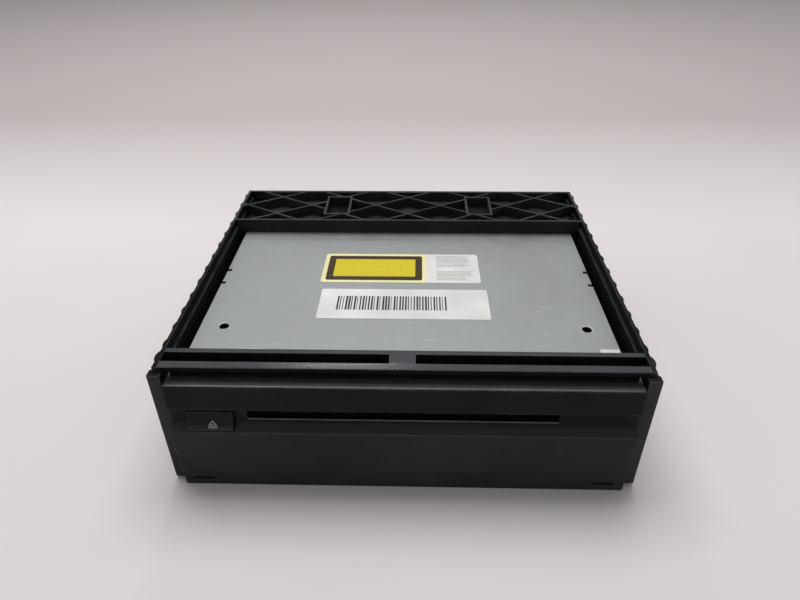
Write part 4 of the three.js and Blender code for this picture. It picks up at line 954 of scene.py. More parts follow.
def mark_creases(shape: bmesh.types.BMesh, angle: float) -> None:
    """Make sharp every edge that turns by more than an angle, apart from those inside a rounding.

    Args:
        shape: The shape.
        angle: The angle.
    """
    layer = shape.faces.layers.float.get(ROUNDING)
    for edge in shape.edges:
        inside = layer and all(face[layer] > 0 for face in edge.link_faces)
        edge.smooth = inside or (edge.is_manifold and edge.calc_face_angle() < angle)


def plain_mesh(source: bpy.types.Object) -> bpy.types.Mesh:
    """Take the mesh that an object's modifiers give, and remove the object.

    Args:
        source: The object.

    Returns:
        The mesh.
    """
    graph = bpy.context.evaluated_depsgraph_get()
    mesh = bpy.data.meshes.new_from_object(source.evaluated_get(graph), depsgraph=graph)
    bpy.data.objects.remove(source)
    return mesh


def held(mesh: bpy.types.Mesh) -> bpy.types.Object:
    """Put a mesh into the scene, to set modifiers on it.

    Args:
        mesh: The mesh.

    Returns:
        The object that holds it.
    """
    holder = bpy.data.objects.new("holder", mesh)
    bpy.context.scene.collection.objects.link(holder)
    return holder


def shaded(mesh: bpy.types.Mesh) -> bpy.types.Mesh:
    """Give a mesh smooth curves, crisp creases and flat faces that stay flat.

    Args:
        mesh: The mesh, its creases marked.

    Returns:
        The shaded mesh.
    """
    mesh.polygons.foreach_set("use_smooth", [True] * len(mesh.polygons))
    holder = held(mesh)
    weighted = holder.modifiers.new("weighted", "WEIGHTED_NORMAL")
    weighted.keep_sharp = True
    return plain_mesh(holder)


def from_bmesh(shape: bmesh.types.BMesh, smooth: bool = True, angle: float = SHARP_ANGLE) -> bpy.types.Mesh:
    """Turn a shape into a mesh, and free the shape.

    Args:
        shape: The shape.
        smooth: True for smooth curves, False for flat faces.
        angle: The smallest turn between two faces that makes a crease.

    Returns:
        The mesh.
    """
    mark_creases(shape, angle)
    mesh = bpy.data.meshes.new("made")
    shape.to_mesh(mesh)
    shape.free()
    return shaded(mesh) if smooth else mesh


def add_prism(shape: bmesh.types.BMesh, outline: Sequence[Sequence[float]], low: float, high: float) -> None:
    """Add a closed upright prism to a shape.

    Args:
        shape: The shape.
        outline: The x and y of its corners, anticlockwise.
        low: The height of its foot.
        high: The height of its top.
    """
    rings = [[shape.verts.new((x, y, z)) for x, y in outline] for z in (low, high)]
    shape.faces.new(list(reversed(rings[0])))
    shape.faces.new(rings[1])
    for i in range(len(outline)):
        j = (i + 1) % len(outline)
        shape.faces.new((rings[0][i], rings[0][j], rings[1][j], rings[1][i]))


def shrunk(span: Span, trim: float) -> Span:
    """Return a span that is shorter by a trim at both ends."""
    return span[0] + trim, span[1] - trim


def rounded_outline(x: Span, y: Span, radius: float, steps: int = CORNER_STEPS) -> list[Span]:
    """Draw a rectangle with round corners.

    Args:
        x: Where it starts and ends along x.
        y: Where it starts and ends along y.
        radius: The radius of its corners.
        steps: Lines in a corner.

    Returns:
        Its points, anticlockwise.
    """
    corners = [(x[1], y[1], 0), (x[0], y[1], 1), (x[0], y[0], 2), (x[1], y[0], 3)]
    points = []
    for corner_x, corner_y, quarter in corners:
        centre_x = corner_x - radius if corner_x == x[1] else corner_x + radius
        centre_y = corner_y - radius if corner_y == y[1] else corner_y + radius
        for step in range(steps + 1):
            turn = (quarter + step / steps) * math.pi / 2
            points.append((centre_x + radius * math.cos(turn), centre_y + radius * math.sin(turn)))
    return points


# Shapes that repeat, each grown by a geometry group


def grow(
    tree: bpy.types.NodeTree, finish: Finish, sizes: dict[str, object], base: bpy.types.Mesh | None = None,
) -> bpy.types.Mesh:
    """Return the plain mesh that a geometry group grows.

    Args:
        tree: The geometry group.
        finish: The finish that the group sets.
        sizes: Values of the group's inputs by name.
        base: The mesh that the group starts from, or None for an empty one.

    Returns:
        The grown mesh.
    """
    holder = held(base or bpy.data.meshes.new("empty"))
    modifier = holder.modifiers.new("grown", "NODES")
    modifier.node_group = tree
    sockets = {s.name: s.identifier for s in tree.interface.items_tree if s.in_out == "INPUT"}
    for name, value in {"Finish": finish.material(), **sizes}.items():
        modifier[sockets[name]] = value
    return plain_mesh(holder)


def grown_group(name: str, inputs: dict[str, tuple], needs_base: bool = False) -> Group:
    """Start a geometry group with a finish input and one shape put out.

    Args:
        name: The group's name.
        inputs: The kind and the default of each other input by its name.
        needs_base: True where the group starts from a shape.

    Returns:
        The group.
    """
    base = {"Shape": (Kind.SHAPE, None)} if needs_base else {}
    sockets = {**base, "Finish": (Kind.FINISH, None), **inputs}
    return Group(name, False, sockets, [("Shape", Kind.SHAPE)])


def finish_growth(group: Group, instances: object) -> bpy.types.NodeTree:
    """End a geometry group with real geometry that carries the finish.

    Args:
        group: The group.
        instances: The output that holds what has grown.

    Returns:
        The finished tree.
    """
    real = group.add("GeometryNodeRealizeInstances", {0: instances}).outputs[0]
    inputs = {"Geometry": real, "Material": group.given["Finish"]}
    return group.give(Shape=group.add("GeometryNodeSetMaterial", inputs).outputs[0])


@cache
def bar_rows() -> bpy.types.NodeTree:
    """Make the group that lays rows of flat bars whose lengths differ by chance.

    Returns:
        The group's tree.
    """
    group = grown_group("bar_rows", {
        "Start": (Kind.VECTOR, (0, 0, 0)), "Step": (Kind.VECTOR, (0, -0.001, 0)), "Count": (Kind.COUNT, 5),
        "Bar": (Kind.VECTOR, (0.01, 0.0003, 0.00002)), "Shortest": (Kind.VECTOR, (0.7, 1, 1)),
        "Longest": (Kind.VECTOR, (1, 1, 1)), "Seed": (Kind.COUNT, 1),
    })
    given = group.given
    line = group.add("GeometryNodeMeshLine", {
        "Count": given["Count"], "Start Location": given["Start"], "Offset": given["Step"],
    }, mode="OFFSET").outputs[0]
    cube = group.add("GeometryNodeMeshCube", {"Size": given["Bar"]}).outputs[0]
    half = group.add(
        "ShaderNodeVectorMath", {0: given["Bar"], 1: (0.5, 0, 0)}, operation="MULTIPLY",
    ).outputs[0]
    left = group.add("GeometryNodeTransform", {"Geometry": cube, "Translation": half}).outputs[0]
    chance = group.add("FunctionNodeRandomValue", {
        0: given["Shortest"], 1: given["Longest"], "Seed": given["Seed"],
    }, data_type="FLOAT_VECTOR").outputs[0]
    rows = group.add("GeometryNodeInstanceOnPoints", {"Points": line, "Instance": left, "Scale": chance})
    return finish_growth(group, rows.outputs[0])


@cache
def pin_grid() -> bpy.types.NodeTree:
    """Make the group that sets a level grid of equal small blocks.

    Returns:
        The group's tree.
    """
    group = grown_group("pin_grid", {
        "Centre": (Kind.VECTOR, (0, 0, 0)), "Pin": (Kind.VECTOR, (0.0005, 0.0005, 0.001)),
        "Spread X": (Kind.NUMBER, 0.01), "Spread Y": (Kind.NUMBER, 0.01),
        "Count X": (Kind.COUNT, 4), "Count Y": (Kind.COUNT, 2),
    })
    given = group.given
    grid = group.add("GeometryNodeMeshGrid", {
        "Size X": given["Spread X"], "Size Y": given["Spread Y"],
        "Vertices X": given["Count X"], "Vertices Y": given["Count Y"],
    }).outputs[0]
    inputs = {"Geometry": grid, "Translation": given["Centre"]}
    placed = group.add("GeometryNodeTransform", inputs).outputs[0]
    cube = group.add("GeometryNodeMeshCube", {"Size": given["Pin"]}).outputs[0]
    pins = group.add("GeometryNodeInstanceOnPoints", {"Points": placed, "Instance": cube})
    return finish_growth(group, pins.outputs[0])


@cache
def fibre_cover() -> bpy.types.NodeTree:
    """Make the group that plants short fibres on the faces of a mesh.

    Returns:
        The group's tree.
    """
    group = grown_group("fibre_cover", {
        "Density": (Kind.NUMBER, 6e6), "Length": (Kind.NUMBER, 0.0006), "Radius": (Kind.NUMBER, 0.00003),
        "Least Turn": (Kind.VECTOR, (-0.6, -0.6, 0.0)), "Most Turn": (Kind.VECTOR, (0.6, 0.6, 6.2)),
        "Seed": (Kind.COUNT, 3),
    }, needs_base=True)
    given = group.given
    spread = group.add("GeometryNodeDistributePointsOnFaces", {
        "Mesh": given["Shape"], "Density": given["Density"], "Seed": given["Seed"],
    })
    fibre = group.add("GeometryNodeMeshCone", {
        "Vertices": FIBRE_SIDES, "Depth": given["Length"],
        "Radius Top": 0.0, "Radius Bottom": given["Radius"],
    }, fill_type="TRIANGLE_FAN").outputs["Mesh"]
    lean = group.add("FunctionNodeRandomValue", {
        0: given["Least Turn"], 1: given["Most Turn"], "Seed": given["Seed"],
    }, data_type="FLOAT_VECTOR").outputs[0]
    turn = group.add("FunctionNodeRotateRotation", {
        "Rotation": spread.outputs["Rotation"],
        "Rotate By": group.add("FunctionNodeEulerToRotation", {0: lean}).outputs[0],
    }, rotation_space="LOCAL").outputs[0]
    fibres = group.add("GeometryNodeInstanceOnPoints", {
        "Points": spread.outputs["Points"], "Instance": fibre, "Rotation": turn,
    }).outputs[0]
    both = group.add("GeometryNodeJoinGeometry")
    for shape in (fibres, given["Shape"]):
        group.tree.links.new(shape, both.inputs[0])
    return finish_growth(group, both.outputs[0])


@cache
def thread() -> bpy.types.NodeTree:
    """Make the group that winds a screw thread's ridge round the Z axis, up from the origin.

    Returns:
        The group's tree.
    """
    group = grown_group("thread", {
        "Radius": (Kind.NUMBER, 0.0015), "Length": (Kind.NUMBER, 0.05), "Turns": (Kind.NUMBER, 30.0),
        "Ridge": (Kind.NUMBER, 0.0002), "Steps": (Kind.COUNT, 16),
    })
    given = group.given
    coil = group.add("GeometryNodeCurveSpiral", {
        "Resolution": given["Steps"], "Rotations": given["Turns"], "Start Radius": given["Radius"],
        "End Radius": given["Radius"], "Height": given["Length"],
    }).outputs[0]
    ridge = group.add("GeometryNodeCurvePrimitiveCircle", {
        "Resolution": RIDGE_SIDES, "Radius": given["Ridge"],
    }).outputs[0]
    wound = group.add("GeometryNodeCurveToMesh", {
        "Curve": coil, "Profile Curve": ridge, "Fill Caps": True,
    }).outputs[0]
    return finish_growth(group, wound)

# Sub-assemblies


@dataclass
class SubAssembly(ABC):
    """Pieces that belong together, with the calls that dress and place them."""

    def put(
        self, name: str, mesh: bpy.types.Mesh, body: str, finishes: Finish | Sequence[Finish] | None = None,
        stands_for: Sequence[str] = (),
    ) -> bpy.types.Object:
        """Make a mesh a piece of the drive.

        Args:
            name: The piece's name.
            mesh: Its mesh, in place.
            body: The body that it rides on.
            finishes: Its finish or finishes, or None where the mesh carries its own.
            stands_for: The CAD nodes that it replaces.

        Returns:
            The piece.
        """
        piece = bpy.data.objects.new(name, mesh)
        mesh.name = name
        bpy.context.scene.collection.objects.link(piece)
        used = [finishes] if isinstance(finishes, Finish) else list(finishes or [])
        for finish in used:
            mesh.materials.append(finish.material())
        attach(piece, body)
        if stands_for:
            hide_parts(*stands_for)
        if used:
            used[0].slot
        LOG.info("piece %s: %d faces on %s", name, len(mesh.polygons), body)
        return piece

    def finish_node(self, node: str, finish: Finish) -> None:
        """Give a CAD node that keeps its own mesh its finish.

        Args:
            node: The CAD node.
            finish: The finish.
        """
        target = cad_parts[node]
        target.data.materials.clear()
        target.data.materials.append(finish.material())
        LOG.info("node %s: %s", node, finish.name)

    def round_node(
        self, node: str, body: str, finishes: Finish | Sequence[Finish], radius: float,
        least: float = LEAST_EDGE, choose: Callable[[Vector, Vector], int] | None = None,
        angle: float = SHARP_ANGLE, steps: int = 2, cuts: Sequence[tuple[Vector, Vector]] = (),
    ) -> bpy.types.Object:
        """Replace a CAD node by a copy with rounded edges.

        Args:
            node: The CAD node.
            body: The body that the copy rides on.
            finishes: The finish, or several that choose picks from.
            radius: How far a rounding reaches from its edge.
            least: The shortest edge that is rounded.
            choose: Gives a face's finish by number from its centre and its normal.
            angle: The smallest turn that counts as an edge.
            steps: Facets across a rounding.
            cuts: Planes where finishes meet, each a point and a normal.

        Returns:
            The new piece.
        """
        shape = merged_copy(node)
        EdgeRounder(shape).round(radius, least, angle, steps)
        for point, normal in cuts:
            geometry = [*shape.verts, *shape.edges, *shape.faces]
            bmesh.ops.bisect_plane(shape, geom=geometry, dist=MERGE_GAP, plane_co=point, plane_no=normal)
        if choose:
            for face in shape.faces:
                face.material_index = choose(face.calc_center_median(), face.normal)
        return self.put(f"{node}_shell", from_bmesh(shape, angle=angle), body, finishes, [node])

    @abstractmethod
    def build(self) -> None:
        """Build and dress every piece."""


@dataclass
class Studio:
    """Camera, lights, floor and surroundings."""

    eye: tuple[float, float, float] = (0.00505, -0.25585, 0.21051)
    down: float = math.radians(33.91)
    aside: float = math.radians(-1.80)
    roll: float = math.radians(-0.50)
    focal_pixels: float = 618.51
    picture_width: float = 800.0
    sensor: float = 36.0
    clip: Span = (0.01, 40)
    floor_half: float = 5.0
    floor_drop: float = 0.0002
    floor_deep: str = "dfd9d9"
    floor_pale: str = "e7e2e1"
    # Painted shade: the floor darkens towards the back
    floor_far_shade: str = "beb6b5"
    floor_shade_rise: Span = (0.16, 0.42)
    floor_cloud: float = 3.0
    floor_roughness: float = 0.7
    floor_gloss: float = 0.1
    sky: str = "e6e4e6"
    sky_strength: float = 0.42
    lamp_place: tuple[float, float, float] = (-0.08, 0.38, 1.25)
    lamp_size: Span = (1.2, 0.7)
    lamp_power: float = 12.5
    window_place: tuple[float, float, float] = (-0.2, 1.1, 0.95)
    window_size: Span = (0.25, 0.25)
    window_power: float = 1.2

    def camera(self) -> None:
        """Set the camera at the photograph's view."""
        ahead = Vector((
            math.sin(self.aside) * math.cos(self.down), math.cos(self.aside) * math.cos(self.down),
            -math.sin(self.down),
        ))
        level = Vector((math.cos(self.aside), -math.sin(self.aside), 0))
        upright = level.cross(ahead)
        right = math.cos(self.roll) * level + math.sin(self.roll) * upright
        above = math.cos(self.roll) * upright - math.sin(self.roll) * level
        data = bpy.data.cameras.new("view")
        data.sensor_width = self.sensor
        data.lens = self.sensor * self.focal_pixels / self.picture_width
        data.clip_start, data.clip_end = self.clip
        camera = bpy.data.objects.new("view", data)
        axes = Matrix((right, above, -ahead)).transposed().to_4x4()
        camera.matrix_world = Matrix.Translation(self.eye) @ axes
        bpy.context.scene.collection.objects.link(camera)
        bpy.context.scene.camera = camera

    def lamp(self, name: str, place: Sequence[float], size: Span, power: float) -> None:
        """Hang a soft lamp that looks at the middle of the drive.

        Args:
            name: The lamp's name.
            place: Where it hangs.
            size: Its width and its depth.
            power: Its power in watts.
        """
        data = bpy.data.lights.new(name, "AREA")
        data.shape = "RECTANGLE"
        data.size, data.size_y = size
        data.energy = power
        lamp = bpy.data.objects.new(name, data)
        lamp.location = place
        lamp.rotation_euler = (-Vector(place)).to_track_quat("-Z", "Y").to_euler()
        bpy.context.scene.collection.objects.link(lamp)

    def floor(self) -> None:
        """Lay a pale floor under the drive, with painted shade towards the back."""
        reach = self.floor_half
        corners = [(-reach, -reach), (reach, -reach), (reach, reach), (-reach, reach)]
        mesh = bpy.data.meshes.new("floor")
        mesh.from_pydata([(x, y, -self.floor_drop) for x, y in corners], [], [(0, 1, 2, 3)])
        floor = bpy.data.objects.new("floor", mesh)
        bpy.context.scene.collection.objects.link(floor)
        material = bpy.data.materials.new("floor")
        material.use_nodes = True
        nodes = Nodes(material.node_tree)
        shader = material.node_tree.nodes["Principled BSDF"]
        cloud = nodes.limits(nodes.noise(self.floor_cloud, detail=3), *CLOUD)
        tone = nodes.blend(cloud, linear(self.floor_deep), linear(self.floor_pale))
        # Painted shade: the floor turns darker towards the back
        far = nodes.limits(nodes.axis(nodes.place(), "Y"), *self.floor_shade_rise)
        nodes.feed(shader.inputs["Base Color"], nodes.blend(far, tone, linear(self.floor_far_shade)))
        nodes.feed(shader.inputs["Roughness"], self.floor_roughness)
        nodes.feed(shader.inputs["Specular IOR Level"], self.floor_gloss)
        mesh.materials.append(material)

    def surroundings(self) -> None:
        """Light the scene from all round, with a pale background for the camera and for reflections."""
        world = bpy.context.scene.world or bpy.data.worlds.new("sky")
        bpy.context.scene.world = world
        world.use_nodes = True
        nodes = Nodes(world.node_tree)
        back = world.node_tree.nodes["Background"]
        path = nodes.add("ShaderNodeLightPath").outputs
        seen = nodes.maths("MAXIMUM", path["Is Camera Ray"], path["Is Transmission Ray"])
        seen = nodes.maths("MAXIMUM", seen, path["Is Glossy Ray"])
        nodes.feed(back.inputs["Color"], linear(self.sky))
        nodes.feed(back.inputs["Strength"], nodes.limits(seen, 0, 1, self.sky_strength, 1))

    def build(self) -> None:
        """Set up everything that isn't part of the drive."""
        self.camera()
        self.floor()
        self.surroundings()
        self.lamp("ceiling_lamp", self.lamp_place, self.lamp_size, self.lamp_power)
        self.lamp("window_lamp", self.window_place, self.window_size, self.window_power)
        bpy.context.scene.view_settings.view_transform = "Standard"


class CageZone(IntEnum):
    """Zones of the cage, numbered in the order of its finishes: the inside takes painted shade, the others
    painted light or painted reflection.
    """

    INSIDE = 0
    BEAM = 1
    LEDGE = 2
    DECK = 3
    CHEEK = 4


@dataclass
class Cage(SubAssembly):
    """The moulded mounting cage and the screws that hold the chassis in it."""

    edge: float = 0.00028
    crease: float = math.radians(30.2)
    facing: float = 0.3
    outward: float = 0.5
    beam_depth: float = 0.02
    beam_drop: float = 0.0008
    beam_half: float = 0.0935
    ledge_depth: float = 0.0072
    cheek_depth: float = 0.006
    cheek_inner: float = 0.0885
    wall_outer: float = 0.0951
    deck_depth: float = 0.0392
    box_place: float = 0.0397
    box_half: float = 0.0061
    box_span: Span = (0.0555, 0.0765)
    rim_depth: float = 0.0012
    screw_edge: float = 0.0002
    screw_least: float = 0.0004
    head_depth: float = 0.0016
    shank_radius: float = 0.0015
    thread_pitch: float = 0.0005
    thread_steps: int = 14
    ridge: float = 0.00016
    ridge_sunk: float = 0.35

    def screw(self, node: str, along: Vector) -> None:
        """Round a screw's head and wind a thread on its shank.

        Args:
            node: The screw's CAD node.
            along: The direction from its tip to its head.
        """
        self.round_node(node, "drive", SCREW_ZINC, self.screw_edge, least=self.screw_least)
        low, high = node_box(node)
        middle = (low + high) / 2
        tip = Vector([
            (low[i] if along[i] > 0 else high[i]) if along[i] else middle[i] for i in range(3)
        ])
        reach = abs((high - low).dot(along)) - self.head_depth
        mesh = grow(thread(), SCREW_ZINC, {
            "Radius": self.shank_radius - self.ridge * self.ridge_sunk, "Length": reach,
            "Turns": reach / self.thread_pitch, "Ridge": self.ridge, "Steps": self.thread_steps,
        })
        turn = Vector((0, 0, 1)).rotation_difference(along).to_matrix().to_4x4()
        mesh.transform(Matrix.Translation(tip + along * self.ridge) @ turn)
        piece = self.put(f"{node}_thread", mesh, "drive")

    def zone(self, centre: Vector, normal: Vector) -> CageZone:
        """Find the zone of the cage that a face lies in.

        Args:
            centre: The face's centre.
            normal: The face's normal.

        Returns:
            The zone.
        """
        low, high = node_box("mounting_cage")
        aside = abs(centre.x)
        at_side = aside > self.cheek_inner
        looks_up = normal.z > self.facing
        # Top faces of the beam and the ledge take bluish copies: painted reflection
        if looks_up and centre.z > high.z - self.beam_drop and aside < self.beam_half:
            if centre.y < low.y + self.ledge_depth:
                return CageZone.LEDGE
            if centre.y < low.y + self.beam_depth:
                return CageZone.BEAM
        # The cheeks' front faces take a lighter copy: painted light
        if at_side and centre.y < low.y + self.cheek_depth and normal.y < -self.facing:
            return CageZone.CHEEK
        is_outside = (
            aside > self.wall_outer and abs(normal.x) > self.outward or normal.z < -self.outward
        )
        in_box = (
            abs(aside - self.box_place) < self.box_half and self.box_span[0] < centre.y < self.box_span[1]
        )
        # Low faces in the side channels and on the deck's box floors take the darkest copy: painted shade
        is_low = centre.z < high.z - self.rim_depth
        if is_low and (at_side and not is_outside or in_box and looks_up):
            return CageZone.INSIDE
        # The deck and the outer faces take a lighter copy, painted light; the rest keeps the darkest copy,
        # painted shade
        in_deck = centre.y > high.y - self.deck_depth
        return CageZone.DECK if is_outside or in_deck else CageZone.INSIDE

    def build(self) -> None:
        """Round the cage and its four screws."""
        finishes = (CAGE_SHADED_PLASTIC, BEAM_REFLECTING_PLASTIC, LEDGE_REFLECTING_PLASTIC, DECK_LIT_PLASTIC, CHEEK_LIT_PLASTIC)
        cuts = [(Vector((side * self.beam_half, 0, 0)), Vector((1, 0, 0))) for side in (-1, 1)]
        low, high = node_box("mounting_cage")
        for depth in (low.y + self.ledge_depth, high.y - self.deck_depth):
            cuts.append((Vector((0, depth, 0)), Vector((0, 1, 0))))
        self.round_node(
            "mounting_cage", "drive", finishes, self.edge, choose=self.zone, angle=self.crease, cuts=cuts,
        )
        for side, sign in (("right", 1), ("left", -1)):
            for number in (1, 2):
                self.screw(f"cage_screw_{side}_{number}", Vector((sign, 0, 0)))


class PanelZone(IntEnum):
    """Zones of the front panel, numbered in the order of its finishes; all but the plain zone carry painted
    light or shade.
    """

    PLAIN = 0
    LIP = 1
    SLOT = 2
    BROW = 3
    APRON = 4
    COVE = 5


@dataclass
class Face(SubAssembly):
    """The front panel with its key, the felt lips and the small board behind the key."""

    edge: float = 0.0003
    key_edge: float = 0.0004
    switch_edge: float = 0.0002
    switch_least: float = 0.0005
    symbol_width: float = 0.0036
    symbol_height: float = 0.0021
    symbol_line: float = 0.00038
    bar_height: float = 0.0007
    bar_gap: float = 0.0003
    bar_hollow: float = 0.25
    print_depth: float = 0.00004
    symbol_lift: float = 0.0013
    symbol_aside: float = 0.0011
    felt_seed: int = 3
    slot_half: float = 0.061
    slot_floor: float = 0.0358
    slot_room: float = 0.005
    film: float = 0.0001
    top_reach: float = 0.0015
    lip_reach: float = 0.0020
    cove_depth: float = 0.0030
    flange: float = 0.0018
    fold_height: float = 0.0300
    facing: float = 0.3
    least_facing: float = 0.05
    lip_facing: float = 0.4
    top_facing: float = 0.75
    # Dark strips on the panel's top that paint the shade under the beam
    seal_setback: float = 0.0096
    seal_depth: float = 0.0021
    seal_height: float = 0.0023
    seal_gap: float = 0.0034
    seal_margin: float = 0.0015

    @staticmethod
    @cache
    def key_surface() -> BVHTree:
        """Make the key's surface for rays.

        Returns:
            The surface.
        """
        shape = merged_copy("eject_button")
        surface = BVHTree.FromBMesh(shape)
        shape.free()
        return surface

    def symbol(self) -> None:
        """Print the eject symbol on the key: an open triangle over an open bar."""
        low, high = node_box("eject_button")
        middle_x = (low.x + high.x) / 2 + self.symbol_aside
        base_z = low.z + self.flange + self.symbol_lift
        half = self.symbol_width / 2
        bar_top = base_z + self.bar_height
        foot = bar_top + self.bar_gap
        triangle = [(-half, foot), (half, foot), (0, foot + self.symbol_height)]
        bar = [(-half, base_z), (half, base_z), (half, bar_top), (-half, bar_top)]
        inset = 1 - self.symbol_line / (self.symbol_height / 3)
        bar_inset = 1 - self.symbol_line / half
        shape = bmesh.new()
        self.hoop(shape, triangle, middle_x, (inset, inset))
        self.hoop(shape, bar, middle_x, (bar_inset, self.bar_hollow))
        bmesh.ops.recalc_face_normals(shape, faces=shape.faces)
        self.put("eject_symbol", from_bmesh(shape, smooth=False), "eject_key", KEY_PRINT)

    def hoop(
        self, shape: bmesh.types.BMesh, outline: Sequence[Span], middle_x: float, hollow: Span,
    ) -> None:
        """Add a closed line of print that follows an outline on the key's crowned face.

        Args:
            shape: The shape that takes the line.
            outline: The x and z of the outline's corners, x from the symbol's middle.
            middle_x: The x of the symbol's middle.
            hollow: The shares of the outline's width and height that stay open inside the line.
        """
        centre = [sum(point[i] for point in outline) / len(outline) for i in (0, 1)]
        rings = []
        for share_x, share_z in ((1, 1), hollow):
            flat = [
                (centre[0] + (x - centre[0]) * share_x, centre[1] + (z - centre[1]) * share_z)
                for x, z in outline
            ]
            rings.append([(middle_x + x, self.face_depth(middle_x + x, z), z) for x, z in flat])
        outer_top, outer_low, inner_top, inner_low = [
            [shape.verts.new((x, y - lift, z)) for x, y, z in ring]
            for ring in rings for lift in (self.print_depth, -self.print_depth)
        ]
        sides = (
            (outer_top, inner_top), (inner_low, outer_low), (outer_low, outer_top), (inner_top, inner_low),
        )
        for i in range(len(outline)):
            j = (i + 1) % len(outline)
            for first, second in sides:
                shape.faces.new((first[i], first[j], second[j], second[i]))

    def face_depth(self, x: float, z: float) -> float:
        """Return the depth of the key's face at a place."""
        return self.key_surface().ray_cast(Vector((x, -1, z)), Vector((0, 1, 0)))[0].y

    def felts(self) -> None:
        """Cover both felt lips with fibres."""
        for number, node in enumerate(("upper_felt", "lower_felt"), self.felt_seed):
            shape = merged_copy(node)
            bmesh.ops.triangulate(shape, faces=shape.faces)
            base = from_bmesh(shape, smooth=False)
            mesh = grow(fibre_cover(), SHADED_FELT, {"Seed": number}, base)
            piece = self.put(f"{node}_pile", mesh, "drive", stands_for=[node])

    def zone(self, centre: Vector, normal: Vector) -> PanelZone:
        """Find the zone of the front panel that a face lies in.

        Args:
            centre: The face's centre.
            normal: The face's normal.

        Returns:
            The zone.
        """
        low, high = node_box("front_panel")
        # The panel's top takes a lighter copy: painted light
        if normal.z > self.top_facing and centre.z > high.z - self.top_reach:
            return PanelZone.BROW
        # Forward faces below the fold take a lighter copy: painted light from the floor
        if normal.y < -self.facing and centre.z < self.fold_height:
            return PanelZone.APRON
        above = centre.z - self.slot_floor
        looks_out = normal.y < -self.least_facing or normal.z > self.facing
        # The cove under the slot takes a copy with painted light towards its foot
        if looks_out and above < -self.edge and centre.z > self.fold_height - self.edge:
            return PanelZone.COVE
        if abs(centre.x) > self.slot_half or not -self.edge < above < self.slot_room:
            return PanelZone.PLAIN
        if centre.y < low.y + self.cove_depth + self.lip_reach:
            # The slot's lower lip takes a light grey copy: a painted glint
            is_lip = normal.z > self.lip_facing and above < self.film
            return PanelZone.LIP if is_lip else PanelZone.PLAIN
        # Faces inside the slot take a near-black copy: painted shade
        return PanelZone.SLOT if above > -self.film else PanelZone.PLAIN

    def shade_strips(self) -> None:
        """Lay dark foam strips on the panel's top under the cage's beam: painted shade in the gap between
        them.
        """
        low, high = node_box("front_panel")
        front = low.y + self.seal_setback
        for side, sign in (("left", -1), ("right", 1)):
            ends = sorted((sign * self.seal_gap, sign * (high.x - self.seal_margin)))
            shape = bmesh.new()
            outline = rounded_outline(ends, (front, front + self.seal_depth), self.edge)
            add_prism(shape, outline, high.z, high.z + self.seal_height)
            self.put(f"seal_{side}", from_bmesh(shape), "drive", SHADE_STRIP_FOAM)

    def build(self) -> None:
        """Round the panel and the key, print the symbol and dress what lies behind."""
        finishes = (FACE_PLASTIC, LIP_GLINT_PLASTIC, SLOT_SHADE_PLASTIC, BROW_LIT_PLASTIC, APRON_LIT_PLASTIC, COVE_LIT_PLASTIC)
        low = node_box("front_panel")[0]
        cuts = [(Vector((side * self.slot_half, 0, 0)), Vector((1, 0, 0))) for side in (-1, 1)]
        cuts.append((Vector((0, low.y + self.cove_depth + self.lip_reach, 0)), Vector((0, 1, 0))))
        self.round_node("front_panel", "drive", finishes, self.edge, choose=self.zone, cuts=cuts)
        self.shade_strips()
        self.round_node("eject_button", "eject_key", KEY_PLASTIC, self.key_edge)
        self.symbol()
        self.felts()
        self.round_node("eject_switch", "drive", DARK_PLASTIC, self.switch_edge, least=self.switch_least)
        self.finish_node("front_board", SOLDER_MASK)


@dataclass(frozen=True)
class PrintedRows:
    """Equal bars in a row on a label, each with a length and a width by chance."""

    name: str
    corner: Span
    bar: Span
    step: Span
    count: int
    least: Span
    most: Span
    seed: int
    ink: Ink


